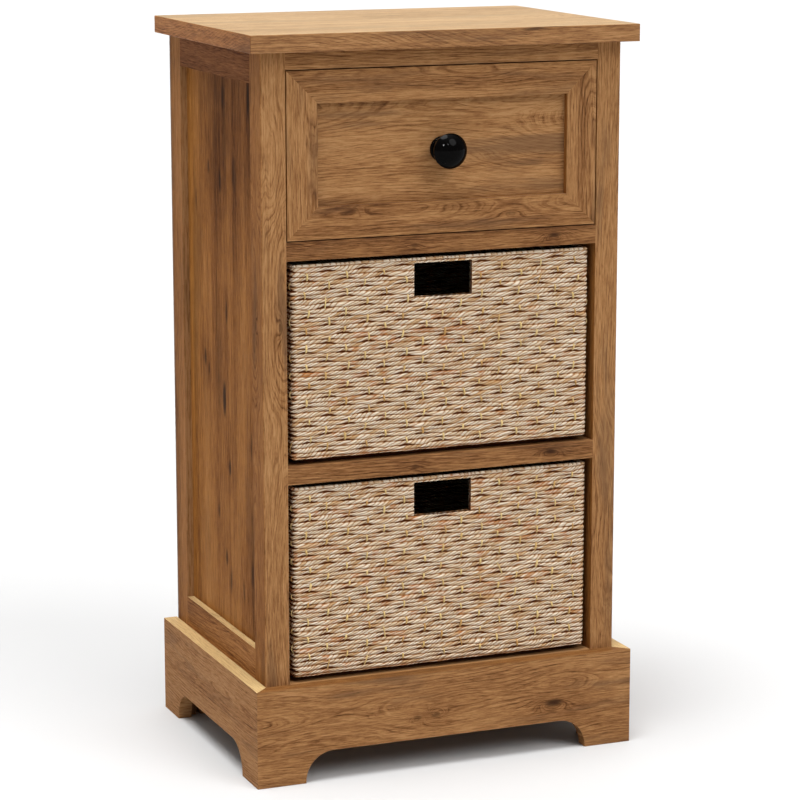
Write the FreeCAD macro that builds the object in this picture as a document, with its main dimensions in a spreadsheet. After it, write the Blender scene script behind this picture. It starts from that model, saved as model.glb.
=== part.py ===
"""Bathroom storage cabinet in an oak finish: a framed case on a bracket plinth, one drawer
on roller runners and two woven baskets in open bays.

Millimetres, +Z up. The front looks towards -Y, +X is on the right seen from the front, and
the origin is on the floor, below the centre of the whole outline, knob included."""

import FreeCAD, Part
import enum
import math
import os
import re

import Sketcher

# Sizes that a maker would set
SIZES = {
    # the whole cabinet
    "overall_width": 400,
    "overall_depth": 290,
    "overall_height": 725,
    "top_thickness": 17,
    "top_edge_round": 0.8,
    "rear_overhang": 5,
    # bracket plinth
    "plinth_height": 97,
    "plinth_board": 14,
    "front_foot": 50,
    "side_foot": 45,
    "arch_height": 30.5,
    "arch_radius": 29,
    # posts and rails
    "post_face": 24.5,
    "post_depth": 30,
    "edge_bevel": 0.6,
    "rail_thickness": 18,
    "side_rail_height": 31,
    "rail_tuck": 35,
    "top_rail_height": 17,
    "groove_depth": 8,
    "panel_inset": 7,
    "panel_thickness": 5,
    "panel_play": 1,
    "back_panel_thickness": 3,
    # shelves and the drawer's opening
    "shelf_thickness": 18,
    "drawer_opening": 162,
    "shelf_play": 0.2,
    # drawer front
    "front_gap": 1.2,
    "trim_width": 31,
    "trim_thickness": 6.5,
    "front_panel_thickness": 11.5,
    # drawer box
    "runner_space": 12.5,
    "box_board": 12,
    "box_height": 120,
    "box_rear_gap": 10,
    "box_bottom_thickness": 4,
    "box_bottom_rise": 14,
    "box_groove_depth": 5,
    "box_play": 0.2,
    # roller runners
    "runner_rise": 8,
    "runner_rear_gap": 9,
    "runner_setback": 21,
    "runner_sheet": 1.2,
    "runner_flange": 10.5,
    "runner_batten_height": 45,
    "roller_radius": 8.5,
    "roller_width": 7,
    "roller_play": 0.3,
    "roller_lift": 1.2,
    "roller_inset": 12,
    "roller_side_gap": 0.5,
    "roller_bevel": 0.8,
    "axle_radius": 2.5,
    "axle_fit": 0.05,
    "axle_head_radius": 4.5,
    "axle_head_height": 0.8,
    "flange_clearance": 2,
    # knob
    "knob_radius": 17,
    "knob_projection": 30,
    "knob_neck_radius": 7,
    "knob_neck_height": 14,
    "knob_under_radius": 7.5,
    "knob_dome_radius": 21,
    "knob_base_radius": 12.5,
    "knob_base_thickness": 3.2,
    "knob_base_round": 1.4,
    "knob_bore_depth": 14,
    "knob_screw_radius": 2,
    # baskets
    "basket_side_gap": 5,
    "basket_top_gap": 4,
    "basket_seat_gap": 0.3,
    "basket_setback": 1.5,
    "basket_rear_gap": 11.5,
    "basket_wall": 6,
    "basket_corner": 8,
    "basket_edge_round": 2.5,
    "handle_width": 60.5,
    "handle_height": 33.5,
    "handle_drop": 5.5,
    "handle_corner": 3,
    "basket_wire_radius": 2,
    "basket_wire_corner": 9,
    "basket_wire_gap": 0.1,
    # dowels, screws and nails
    "dowel_radius": 4,
    "dowel_length": 30,
    "hole_play": 0.1,
    "hole_spare": 1,
    "screw_radius": 2,
    "screw_head_radius": 4,
    "screw_head_height": 2.4,
    "top_screw_bite": 9,
    "top_screw_inset": 71.5,
    "front_screw_length": 20,
    "front_screw_inset": 27,
    "front_screw_margin": 28,
    "runner_screw_radius": 1.6,
    "runner_screw_head_radius": 3.2,
    "runner_screw_head_height": 0.9,
    "runner_screw_length": 11,
    "runner_screw_margin": 36,
    "nail_radius": 0.9,
    "nail_head_radius": 2.2,
    "nail_head_height": 0.8,
    "nail_length": 15,
    # a common overrun, by which every cutter passes the face that it opens
    "overrun": 2,
}

# Places worked out from those sizes, in an order in which each needs only earlier ones
PLACES = {
    "body_half": "overall_width / 2 - plinth_board",
    "opening_half": "body_half - post_face",
    "knob_reach": "knob_projection - trim_thickness - plinth_board",
    "rear_edge": "(overall_depth + knob_reach) / 2",
    "front_edge": "rear_edge - overall_depth",
    "front_plane": "front_edge + plinth_board",
    "rear_plane": "rear_edge - rear_overhang",
    "frame_back": "rear_plane - back_panel_thickness",
    "front_post_back": "front_plane + post_depth",
    "rear_post_front": "frame_back - post_depth",
    "front_post_middle": "front_plane + post_depth / 2",
    "rear_post_middle": "frame_back - post_depth / 2",
    "panel_outer": "body_half - panel_inset",
    "panel_inner": "panel_outer - panel_thickness",
    "rail_inner": "body_half - rail_thickness",
    "case_top": "overall_height - top_thickness",
    "side_rail_low": "case_top - side_rail_height",
    "side_rail_high": "plinth_height + side_rail_height",
    "side_rail_foot": "plinth_height - rail_tuck",
    "drawer_top": "case_top - top_rail_height",
    "drawer_low": "drawer_top - drawer_opening",
    "upper_bay_top": "drawer_low - shelf_thickness",
    "bay_height": "(upper_bay_top - shelf_thickness - plinth_height) / 2",
    "upper_bay_floor": "upper_bay_top - bay_height",
    "lower_bay_top": "upper_bay_floor - shelf_thickness",
    "bottom_shelf_low": "plinth_height - shelf_thickness",
    "front_half": "opening_half - front_gap",
    "front_low": "drawer_low + front_gap",
    "front_high": "drawer_top - front_gap",
    "front_middle": "(front_low + front_high) / 2",
    "trim_back": "front_plane + trim_thickness",
    "front_back": "trim_back + front_panel_thickness",
    "box_half": "opening_half - runner_space",
    "box_inner": "box_half - box_board",
    "box_low": "drawer_low + runner_rise",
    "box_high": "box_low + box_height",
    "box_rear": "frame_back - box_rear_gap",
    "box_front_back": "front_back + box_board",
    "box_floor_low": "box_low + box_bottom_rise",
    "box_floor": "box_floor_low + box_bottom_thickness",
    "runner_front": "front_plane + runner_setback",
    "runner_rear": "frame_back - runner_rear_gap",
    "runner_length": "runner_rear - runner_front",
    "web_inner": "opening_half - runner_sheet",
    "rear_roller_low": "box_low + runner_sheet + roller_play",
    "rear_roller_height": "rear_roller_low + roller_radius",
    "channel_ceiling": "rear_roller_height + roller_radius + roller_play",
    "channel_top": "channel_ceiling + runner_sheet",
    "front_roller_height": "channel_top + roller_lift - roller_radius",
    "rider_low": "front_roller_height + roller_radius + roller_play",
    "rider_high": "rider_low + runner_sheet",
    "rider_web": "box_half + runner_sheet",
    "rider_edge": "web_inner - 2 * roller_play",
    "front_roller_spot": "runner_front + roller_inset",
    "rear_roller_spot": "runner_rear - roller_inset",
    "basket_half": "opening_half - basket_side_gap",
    "basket_front": "front_plane + basket_setback",
    "basket_rear": "frame_back - basket_rear_gap",
    "basket_length": "basket_rear - basket_front",
    "basket_middle": "(basket_front + basket_rear) / 2",
    "basket_height": "bay_height - basket_seat_gap - basket_top_gap",
    "wire_inset": "basket_wall + basket_wire_gap + basket_wire_radius",
    "wire_half": "basket_half - wire_inset",
    "wire_depth": "basket_length / 2 - wire_inset",
    "wire_low": "wire_inset",
    "wire_high": "basket_height - handle_drop + basket_wire_radius",
}

PLANES = {"XY": "XY_Plane", "XZ": "XZ_Plane", "YZ": "YZ_Plane"}
AXES = {
    "x": FreeCAD.Rotation(FreeCAD.Vector(0, 1, 0), 90),
    "y": FreeCAD.Rotation(FreeCAD.Vector(1, 0, 0), -90),
    "z": FreeCAD.Rotation(),
}


class Spot(enum.IntEnum):
    """How a sketch names its own origin, and the points of a line, an arc or a circle."""

    ORIGIN = -1
    START = 1
    END = 2
    CENTRE = 3


doc = FreeCAD.newDocument("storage_cabinet")
parts = []


# The two sheets
def bind(text):
    """An expression of the document, from one in the plain names of sizes and places."""

    def full(match):
        name = match.group(0)
        if name in SIZES:
            return "sizes." + name
        if name in PLACES:
            return "places." + name
        return name

    return re.sub(r"[a-z_]+", full, text)


def make_sheet(name, rows):
    """A sheet with one named cell a row."""
    sheet = doc.addObject("Spreadsheet::Sheet", name)
    for row, (alias, content) in enumerate(rows.items(), start=1):
        sheet.set(f"A{row}", alias)
        sheet.set(f"B{row}", content)
        sheet.setAlias(f"B{row}", alias)
    doc.recompute()
    return sheet


sizes = make_sheet("sizes", {name: str(value) for name, value in SIZES.items()})
places = make_sheet("places", {name: "=" + bind(text) for name, text in PLACES.items()})


def number(text):
    """What an expression is worth now, for a sketch's first shape."""
    return float(places.evalExpression(bind(text)))


# Small steps that the sub-parts share
def keep(piece, label):
    """Marks a finished sub-part, whose label names its file and has to be its own."""
    piece.Label = label
    if piece.Label != label:
        raise RuntimeError(f"{label} is already the label of another object")
    parts.append(piece)
    return piece


def place(piece, spot):
    """Binds a piece's place to an expression for each axis."""
    for axis, text in zip("xyz", spot):
        piece.setExpression(f"Placement.Base.{axis}", bind(text))
    return piece


def board(name, low, high):
    """A plain board between two corners."""
    piece = doc.addObject("Part::Box", name)
    for side, start, end in zip(("Length", "Width", "Height"), low, high):
        piece.setExpression(side, bind(f"({end}) - ({start})"))
    return place(piece, low)


def rod(name, spot, axis, radius, length):
    """A round bar from a spot along +X, +Y or +Z."""
    piece = doc.addObject("Part::Cylinder", name)
    piece.Placement = FreeCAD.Placement(FreeCAD.Vector(), AXES[axis])
    piece.setExpression("Radius", bind(radius))
    piece.setExpression("Height", bind(length))
    return place(piece, spot)


def taper(name, spot, axis, first, last, length):
    """A cone from a spot along +X, +Y or +Z."""
    piece = doc.addObject("Part::Cone", name)
    piece.Placement = FreeCAD.Placement(FreeCAD.Vector(), AXES[axis])
    piece.setExpression("Radius1", bind(first))
    piece.setExpression("Radius2", bind(last))
    piece.setExpression("Height", bind(length))
    return place(piece, spot)


def join(name, pieces):
    """One solid from pieces that meet."""
    whole = doc.addObject("Part::MultiFuse", name)
    whole.Shapes = pieces
    return whole


def group(name, pieces):
    """Separate solids under one name."""
    whole = doc.addObject("Part::Compound", name)
    whole.Links = pieces
    return whole


def cut(name, base, tools):
    """The base with every tool taken away."""
    rest = doc.addObject("Part::Cut", name)
    rest.Base = base
    rest.Tool = tools[0] if len(tools) == 1 else join(name + "_tools", tools)
    return rest


def mirrored(source, name, normal=(1, 0, 0), middle="0"):
    """A piece's mirror image in a plane square to an axis."""
    twin = doc.addObject("Part::Mirroring", name)
    twin.Source = source
    twin.Normal = normal
    axis = "xyz"[normal.index(1)]
    twin.setExpression(f"Base.{axis}", bind(middle))
    return twin


def mirror(source, label, normal=(1, 0, 0), middle="0"):
    """The same sub-part on the other side, kept under its own label."""
    return keep(mirrored(source, label, normal, middle), label)


def new_body(name):
    """An empty body for sketched features."""
    return doc.addObject("PartDesign::Body", name)


def origin_item(body, role):
    """One of the body's own planes or axes."""
    return next(item for item in body.Origin.OriginFeatures if item.Role == role)


def new_sketch(body, plane, start="0"):
    """An empty sketch on a plane of the body, moved along that plane's axis."""
    sketch = body.newObject("Sketcher::SketchObject", body.Name + "_sketch")
    sketch.AttachmentSupport = (origin_item(body, PLANES[plane]), [""])
    sketch.MapMode = "FlatFace"
    sign = "-" if plane == "XZ" else ""
    sketch.setExpression("AttachmentOffset.Base.z", bind(f"{sign}({start})"))
    return sketch


def pin_point(sketch, item, end, spot):
    """Ties a point of the sketch to an expression across and one up."""
    for kind, text in zip(("DistanceX", "DistanceY"), spot):
        tie = Sketcher.Constraint(kind, Spot.ORIGIN, Spot.START, item, end, number(text))
        rule = sketch.addConstraint(tie)
        sketch.setExpression(f"Constraints[{rule}]", bind(text))


def arc_between(first, last, radius, turn):
    """The arc of under half a turn from one point to the next, and which end comes first."""
    chord = last - first
    half = chord.Length / 2
    side = FreeCAD.Vector(-chord.y, chord.x, 0).normalize()
    rise = math.sqrt(max(radius * radius - half * half, 0))
    centre = (first + last) / 2 + side * (rise if turn == "left" else -rise)
    begin, end = (first, last) if turn == "left" else (last, first)
    angles = [math.atan2(p.y - centre.y, p.x - centre.x) for p in (begin, end)]
    if angles[1] < angles[0]:
        angles[1] += 2 * math.pi
    circle = Part.Circle(centre, FreeCAD.Vector(0, 0, 1), radius)
    return Part.ArcOfCircle(circle, angles[0], angles[1])


def add_loop(sketch, corners, closed=True):
    """Lines and arcs through the corners. A corner is (across, up), with a radius and a turn
    of left or right where the run that ends there is an arc."""
    points = [FreeCAD.Vector(number(c[0]), number(c[1]), 0) for c in corners]
    runs = []
    for here in range(0 if closed else 1, len(corners)):
        corner = corners[here]
        if len(corner) == 4:
            radius, turn = corner[2:]
            shape = arc_between(points[here - 1], points[here], number(radius), turn)
            item = sketch.addGeometry(shape, False)
            rule = sketch.addConstraint(Sketcher.Constraint("Radius", item, number(radius)))
            sketch.setExpression(f"Constraints[{rule}]", bind(radius))
            ends = (Spot.START, Spot.END) if turn == "left" else (Spot.END, Spot.START)
        else:
            item = sketch.addGeometry(Part.LineSegment(points[here - 1], points[here]), False)
            ends = (Spot.START, Spot.END)
        pin_point(sketch, item, ends[1], corner[:2])
        runs.append((item, ends))
    if not closed:
        pin_point(sketch, runs[0][0], runs[0][1][0], corners[0][:2])
        pairs = zip(runs, runs[1:])
    else:
        pairs = zip(runs, runs[1:] + runs[:1])
    for (item, ends), (after, after_ends) in pairs:
        joint = Sketcher.Constraint("Coincident", item, ends[1], after, after_ends[0])
        sketch.addConstraint(joint)


def add_circle(sketch, spot, radius):
    """A circle tied to its centre and radius."""
    centre = FreeCAD.Vector(number(spot[0]), number(spot[1]), 0)
    circle = Part.Circle(centre, FreeCAD.Vector(0, 0, 1), number(radius))
    item = sketch.addGeometry(circle, False)
    pin_point(sketch, item, Spot.CENTRE, spot)
    rule = sketch.addConstraint(Sketcher.Constraint("Radius", item, number(radius)))
    sketch.setExpression(f"Constraints[{rule}]", bind(radius))


def pad(body, sketch, plane, length):
    """Fills a sketch, towards the positive end of its axis."""
    feature = body.newObject("PartDesign::Pad", body.Name + "_pad")
    feature.Profile = sketch
    feature.Reversed = plane == "XZ"
    feature.setExpression("Length", bind(length))
    return feature


def pocket(body, sketch, plane, length):
    """Cuts a sketch out, towards the positive end of its axis."""
    feature = body.newObject("PartDesign::Pocket", body.Name + "_pocket")
    feature.Profile = sketch
    feature.Reversed = plane != "XZ"
    feature.setExpression("Length", bind(length))
    return feature


def fill(body, plane, corners, start, length):
    """A prism over one outline, from a start along the plane's axis."""
    sketch = new_sketch(body, plane, start)
    add_loop(sketch, corners)
    return pad(body, sketch, plane, length)


def carve(body, plane, corners, start, length):
    """A prism cut out, from a start along the plane's axis."""
    sketch = new_sketch(body, plane, start)
    add_loop(sketch, corners)
    return pocket(body, sketch, plane, length)


def revolve(body, corners, axis):
    """A turned solid from an outline beside one of the body's axes."""
    sketch = new_sketch(body, "XY")
    add_loop(sketch, corners)
    feature = body.newObject("PartDesign::Revolution", body.Name + "_turn")
    feature.Profile = sketch
    feature.ReferenceAxis = (origin_item(body, axis), [""])
    feature.Angle = 360
    return feature


def dress(body, kind, size, test):
    """A fillet or chamfer on every edge of the body that a test picks."""
    doc.recompute()
    edges = [f"Edge{n}" for n, edge in enumerate(body.Shape.Edges, start=1) if test(edge)]
    base = body.Tip
    feature = body.newObject("PartDesign::" + kind, body.Name + "_edges")
    feature.Base = (base, edges)
    feature.setExpression("Radius" if kind == "Fillet" else "Size", bind(size))
    return feature


def rectangle(low, high):
    """The corners of a rectangle, from two opposite ones."""
    return [low, (high[0], low[1]), high, (low[0], high[1])]


def rounded_rectangle(half_across, half_up, radius):
    """A rounded rectangle about the origin, from the middle of its lower side."""
    corners = [("0", f"-({half_up})")]
    for across, up, first in (("", "-", True), ("", "", False), ("-", "", True), ("-", "-", False)):
        near_up = (f"{across}({half_across} - {radius})", f"{up}({half_up})")
        near_across = (f"{across}({half_across})", f"{up}({half_up} - {radius})")
        begin, end = (near_up, near_across) if first else (near_across, near_up)
        corners += [begin, end + (radius, "left")]
    return corners


def runs_along(edge, axis):
    """Whether an edge is straight and lies along an axis."""
    ends = edge.Vertexes
    if len(ends) < 2 or edge.Curve.TypeId != "Part::GeomLine":
        return False
    way = (ends[1].Point - ends[0].Point).normalize()
    return abs(getattr(way, axis)) > math.cos(math.radians(1))


def near(value, text):
    """Whether a coordinate lies at a named place."""
    return math.isclose(value, number(text), rel_tol=1e-6, abs_tol=1e-6)


# Fasteners
def countersunk_shape(name, spot, axis, sign, length, play="0"):
    """A countersunk screw whose flat head lies at the spot and whose point is at its far end."""
    at = "xyz".index(axis)
    wide, thin = f"screw_head_radius + {play}", f"screw_radius + {play}"
    low = list(spot)
    if sign < 0:
        low[at] = f"{spot[at]} - screw_head_height"
        head = taper(name + "_head", low, axis, thin, wide, "screw_head_height")
        low[at] = f"{spot[at]} - ({length})"
    else:
        head = taper(name + "_head", low, axis, wide, thin, "screw_head_height")
    shank = rod(name + "_shank", low, axis, thin, length)
    return join(name, [head, shank])


def flat_head_shape(name, spot, axis, sign, head, shank, play="0"):
    """A nail or pan-head screw: the head stands out of the spot and the shank goes in."""
    at = "xyz".index(axis)
    head_radius, head_height = head
    shank_radius, length = shank
    head_low, shank_low = list(spot), list(spot)
    if sign < 0:
        shank_low[at] = f"{spot[at]} - ({length})"
    else:
        head_low[at] = f"{spot[at]} - ({head_height})"
    top = rod(name + "_head", head_low, axis, head_radius, head_height)
    stem = rod(name + "_shank", shank_low, axis, f"{shank_radius} + {play}", length)
    return join(name, [top, stem])


# Where the dowels sit: the height and depth of each, at both side faces of the opening
SHELF_LEVELS = {
    "bottom_shelf": "plinth_height - shelf_thickness / 2",
    "middle_shelf": "lower_bay_top + shelf_thickness / 2",
    "upper_shelf": "upper_bay_top + shelf_thickness / 2",
}
FRONT_DOWELS = {name: ("front_post_middle", level) for name, level in SHELF_LEVELS.items()}
REAR_DOWELS = {name: ("rear_post_middle", level) for name, level in SHELF_LEVELS.items()}
FRONT_DOWELS["top_front_rail"] = (
    "front_plane + rail_thickness / 2",
    "case_top - top_rail_height / 2",
)
REAR_DOWELS["top_rear_rail"] = (
    "frame_back - rail_thickness / 2",
    "case_top - side_rail_height / 2",
)
REAR_DOWELS["plinth_rear"] = (
    "frame_back - rail_thickness / 2",
    "(arch_height + bottom_shelf_low) / 2",
)

# Where the back panel's nails sit: a row up each rear post, and one in each rear rail
POST_NAILS = [
    ("(opening_half + body_half) / 2", level)
    for level in ("side_rail_high", "lower_bay_top", "upper_bay_top", "side_rail_low")
]
RAIL_NAILS = {
    "top_rear_rail": ("0", "case_top - side_rail_height / 2"),
    "plinth_rear": ("0", "(side_rail_foot + bottom_shelf_low) / 2"),
}
ALL_NAILS = POST_NAILS + [(f"-{across}", up) for across, up in POST_NAILS] + list(RAIL_NAILS.values())


def dowel_holes(name, spots, low):
    """Blind holes along X, each half a dowel deep and a little more, from a low end."""
    return [
        rod(f"{name}_hole", (low, depth, height), "x", "dowel_radius + hole_play",
            "dowel_length / 2 + hole_spare")
        for depth, height in spots
    ]


def end_holes(name, spots):
    """Dowel holes in both ends of a piece that fills the opening's width."""
    right = dowel_holes(name, spots, "opening_half - dowel_length / 2 - hole_spare")
    left = dowel_holes(name, spots, "-opening_half")
    return right + left


# The case
def make_top_panel():
    """The overhanging slab, with its sharp edges just broken."""
    body = new_body("top_panel_body")
    low = ("-overall_width / 2", "front_edge")
    high = ("overall_width / 2", "rear_edge")
    fill(body, "XY", rectangle(low, high), "case_top", "top_thickness")
    dress(body, "Fillet", "top_edge_round", lambda edge: True)
    screws = top_screws("hole_play", "top_panel_hole")
    keep(cut("top_panel", body, screws), "top_panel")


def top_screws(play, name):
    """Four screws up through the top rails into the slab."""
    rows = (
        ("front_plane + rail_thickness / 2", "drawer_top"),
        ("frame_back - rail_thickness / 2", "side_rail_low"),
    )
    screws = []
    for depth, height in rows:
        length = f"case_top + top_screw_bite - {height}"
        for side in ("-", ""):
            spot = (f"{side}(opening_half - top_screw_inset)", depth, height)
            screws.append(countersunk_shape(name, spot, "z", 1, length, play))
    return screws


def make_posts():
    """Four square posts that stand on the floor. Each has a groove down the face that meets
    the side rails, for their stub tenons and the panel's edge."""
    groove = ("panel_inner", "panel_outer")
    spots = {
        "front_post": ("front_plane", "front_post_back", "front_post_back - groove_depth", FRONT_DOWELS),
        "rear_post": ("frame_back", "rear_post_front", "rear_post_front + groove_depth", REAR_DOWELS),
    }
    for name, (outer, inner, groove_end, dowels) in spots.items():
        body = new_body(name + "_body")
        corners = [
            ("opening_half", outer),
            ("body_half", outer),
            ("body_half", inner),
            (groove[1], inner),
            (groove[1], groove_end),
            (groove[0], groove_end),
            (groove[0], inner),
            ("opening_half", inner),
        ]
        fill(body, "XY", corners, "0", "case_top")
        dress(body, "Chamfer", "edge_bevel", lambda edge: on_post_corner(edge, outer))
        holes = dowel_holes(name, dowels.values(), "opening_half")
        if name == "rear_post":
            holes += back_nails("hole_play", "rear_post_nail_hole", POST_NAILS)
        right = keep(cut(name + "_right", body, holes), name + "_right")
        mirror(right, name + "_left")


def on_post_corner(edge, outer):
    """Whether an edge is the post's upright outer corner."""
    if not runs_along(edge, "z"):
        return False
    point = edge.Vertexes[0].Point
    return near(point.x, "body_half") and near(point.y, outer)


def make_side_rails():
    """Rails between the posts, grooved for the panel and with a stub tenon at each end."""
    rows = {
        "side_top_rail": ("side_rail_low", "case_top", "side_rail_low + groove_depth"),
        "side_bottom_rail": ("side_rail_high", "side_rail_foot", "side_rail_high - groove_depth"),
    }
    for name, (grooved, plain, groove_end) in rows.items():
        body = new_body(name + "_body")
        corners = [
            ("rail_inner", plain),
            ("body_half", plain),
            ("body_half", grooved),
            ("panel_outer", grooved),
            ("panel_outer", groove_end),
            ("panel_inner", groove_end),
            ("panel_inner", grooved),
            ("rail_inner", grooved),
        ]
        length = "rear_post_front - front_post_back"
        fill(body, "XZ", corners, "front_post_back", length)
        tenon = rectangle(("panel_inner", groove_end), ("panel_outer", plain))
        fill(body, "XZ", tenon, "front_post_back - groove_depth", f"{length} + 2 * groove_depth")
        right = keep(body, name + "_right")
        mirror(right, name + "_left")


def make_side_panels():
    """Thin panels held in the grooves, a little short of their bottoms."""
    room = "groove_depth - panel_play"
    low = ("panel_inner", f"front_post_back - ({room})", f"side_rail_high - ({room})")
    high = ("panel_outer", f"rear_post_front + {room}", f"side_rail_low + {room}")
    right = keep(board("side_panel_right", low, high), "side_panel_right")
    mirror(right, "side_panel_left")


def make_cross_rails():
    """The rail over the drawer, its partner at the back, and the board between the rear feet."""
    rows = {
        "top_front_rail": ("front_plane", "drawer_top", "case_top", FRONT_DOWELS),
        "top_rear_rail": ("frame_back - rail_thickness", "side_rail_low", "case_top", REAR_DOWELS),
        "plinth_rear": ("frame_back - rail_thickness", "arch_height", "bottom_shelf_low", REAR_DOWELS),
    }
    screws = top_screws("hole_play", "rail_hole")
    nails = dict(zip(RAIL_NAILS, back_nails("hole_play", "rail_nail_hole", RAIL_NAILS.values())))
    for name, (front, low, high, dowels) in rows.items():
        rail = board(name + "_board", ("-opening_half", front, low),
                     ("opening_half", f"{front} + rail_thickness", high))
        tools = end_holes(name, [dowels[name]])
        if name == "top_front_rail":
            tools += screws[:2]
        if name == "top_rear_rail":
            tools += screws[2:]
        if name in nails:
            tools.append(nails[name])
        keep(cut(name, rail, tools), name)


def make_shelves():
    """Shelves notched round the posts. Their front edges lie flush with the posts."""
    rows = {
        "bottom_shelf": ("bottom_shelf_low", "rail_inner"),
        "middle_shelf": ("lower_bay_top", "panel_inner"),
        "upper_shelf": ("upper_bay_top", "panel_inner"),
    }
    for name, (low, reach) in rows.items():
        body = new_body(name + "_body")
        wide = f"{reach} - shelf_play"
        front, rear = "front_post_back + shelf_play", "rear_post_front - shelf_play"
        half = [
            ("opening_half", "front_plane"),
            ("opening_half", front),
            (wide, front),
            (wide, rear),
            ("opening_half", rear),
            ("opening_half", "frame_back"),
        ]
        other = [(f"-({across})", depth) for across, depth in reversed(half)]
        fill(body, "XY", half + other, low, "shelf_thickness")
        tools = end_holes(name, [FRONT_DOWELS[name], REAR_DOWELS[name]])
        keep(cut(name, body, tools), name)


def make_back_panel():
    """Thin hardboard over the back of the frame, nailed to the posts and rear rails."""
    low = ("-body_half", "frame_back", "side_rail_foot")
    high = ("body_half", "rear_plane", "case_top")
    sheet = board("back_panel_board", low, high)
    nails = back_nails("hole_play", "back_panel_hole", ALL_NAILS)
    keep(cut("back_panel", sheet, nails), "back_panel")


def back_nails(play, name, spots):
    """Nails through the back panel, each across and up to its spot."""
    head = ("nail_head_radius", "nail_head_height")
    shank = ("nail_radius", "nail_length")
    return [
        flat_head_shape(name, (across, "rear_plane", height), "y", -1, head, shank, play)
        for across, height in spots
    ]


def make_plinth():
    """Boards wrapped round the front and sides, mitred at the front corners, each with a flat
    arch that leaves a bracket foot at both ends."""
    front = new_body("plinth_front_body")
    corners = [
        ("-overall_width / 2", "front_edge"),
        ("overall_width / 2", "front_edge"),
        ("body_half", "front_plane"),
        ("-body_half", "front_plane"),
    ]
    fill(front, "XY", corners, "0", "plinth_height")
    inner = "overall_width / 2 - front_foot"
    carve(front, "XZ", arch(f"-({inner})", inner), "front_edge - overrun", "plinth_board + 2 * overrun")
    keep(front, "plinth_front")

    side = new_body("plinth_side_body")
    corners = [
        ("overall_width / 2", "front_edge"),
        ("overall_width / 2", "rear_edge"),
        ("body_half", "rear_edge"),
        ("body_half", "front_plane"),
    ]
    fill(side, "XY", corners, "0", "plinth_height")
    opening = arch("front_edge + side_foot", "rear_edge - side_foot")
    carve(side, "YZ", opening, "body_half - overrun", "plinth_board + 2 * overrun")
    right = keep(side, "plinth_right")
    mirror(right, "plinth_left")


def arch(low, high):
    """A flat arch with a quarter round at each end, open below."""
    spring = "arch_height - arch_radius"
    return [
        (low, "-overrun"),
        (high, "-overrun"),
        (high, spring),
        (f"{high} - arch_radius", "arch_height", "arch_radius", "left"),
        (f"{low} + arch_radius", "arch_height"),
        (low, spring, "arch_radius", "left"),
    ]


def make_dowels():
    """Glued dowels that hold the shelves and cross rails to the posts."""
    spots = list(FRONT_DOWELS.values()) + list(REAR_DOWELS.values())
    dowels = [
        rod("dowel", (f"{side}opening_half - dowel_length / 2", depth, height), "x",
            "dowel_radius", "dowel_length")
        for side in ("-", "")
        for depth, height in spots
    ]
    keep(group("case_dowels", dowels), "case_dowels")


# The drawer
def make_drawer_front():
    """A flat panel with a mitred frame of four trims on its face."""
    panel = board("drawer_panel_board", ("-front_half", "trim_back", "front_low"),
                  ("front_half", "front_back", "front_high"))
    knob_hole = rod("drawer_panel_hole", ("0", "trim_back - overrun", "front_middle"), "y",
                    "knob_screw_radius + hole_play", "front_panel_thickness + 2 * overrun")
    tools = [knob_hole] + front_screws("hole_play", "drawer_panel_hole")
    keep(cut("drawer_front_panel", panel, tools), "drawer_front_panel")

    top = new_body("drawer_trim_top_body")
    corners = [
        ("-front_half", "front_high"),
        ("-front_half + trim_width", "front_high - trim_width"),
        ("front_half - trim_width", "front_high - trim_width"),
        ("front_half", "front_high"),
    ]
    fill(top, "XZ", corners, "front_plane", "trim_thickness")
    keep(top, "drawer_trim_top")
    mirror(top, "drawer_trim_bottom", (0, 0, 1), "front_middle")

    side = new_body("drawer_trim_right_body")
    corners = [
        ("front_half", "front_low"),
        ("front_half", "front_high"),
        ("front_half - trim_width", "front_high - trim_width"),
        ("front_half - trim_width", "front_low + trim_width"),
    ]
    fill(side, "XZ", corners, "front_plane", "trim_thickness")
    keep(side, "drawer_trim_right")
    mirror(side, "drawer_trim_left")


def front_screws(play, name):
    """Four screws from inside the box, through its front and into the face panel."""
    spots = [
        (f"{side}(box_inner - front_screw_inset)", level)
        for side in ("-", "")
        for level in ("box_low + front_screw_margin", "box_high - front_screw_margin")
    ]
    return [
        countersunk_shape(name, (across, "box_front_back", height), "y", -1, "front_screw_length", play)
        for across, height in spots
    ]


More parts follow.
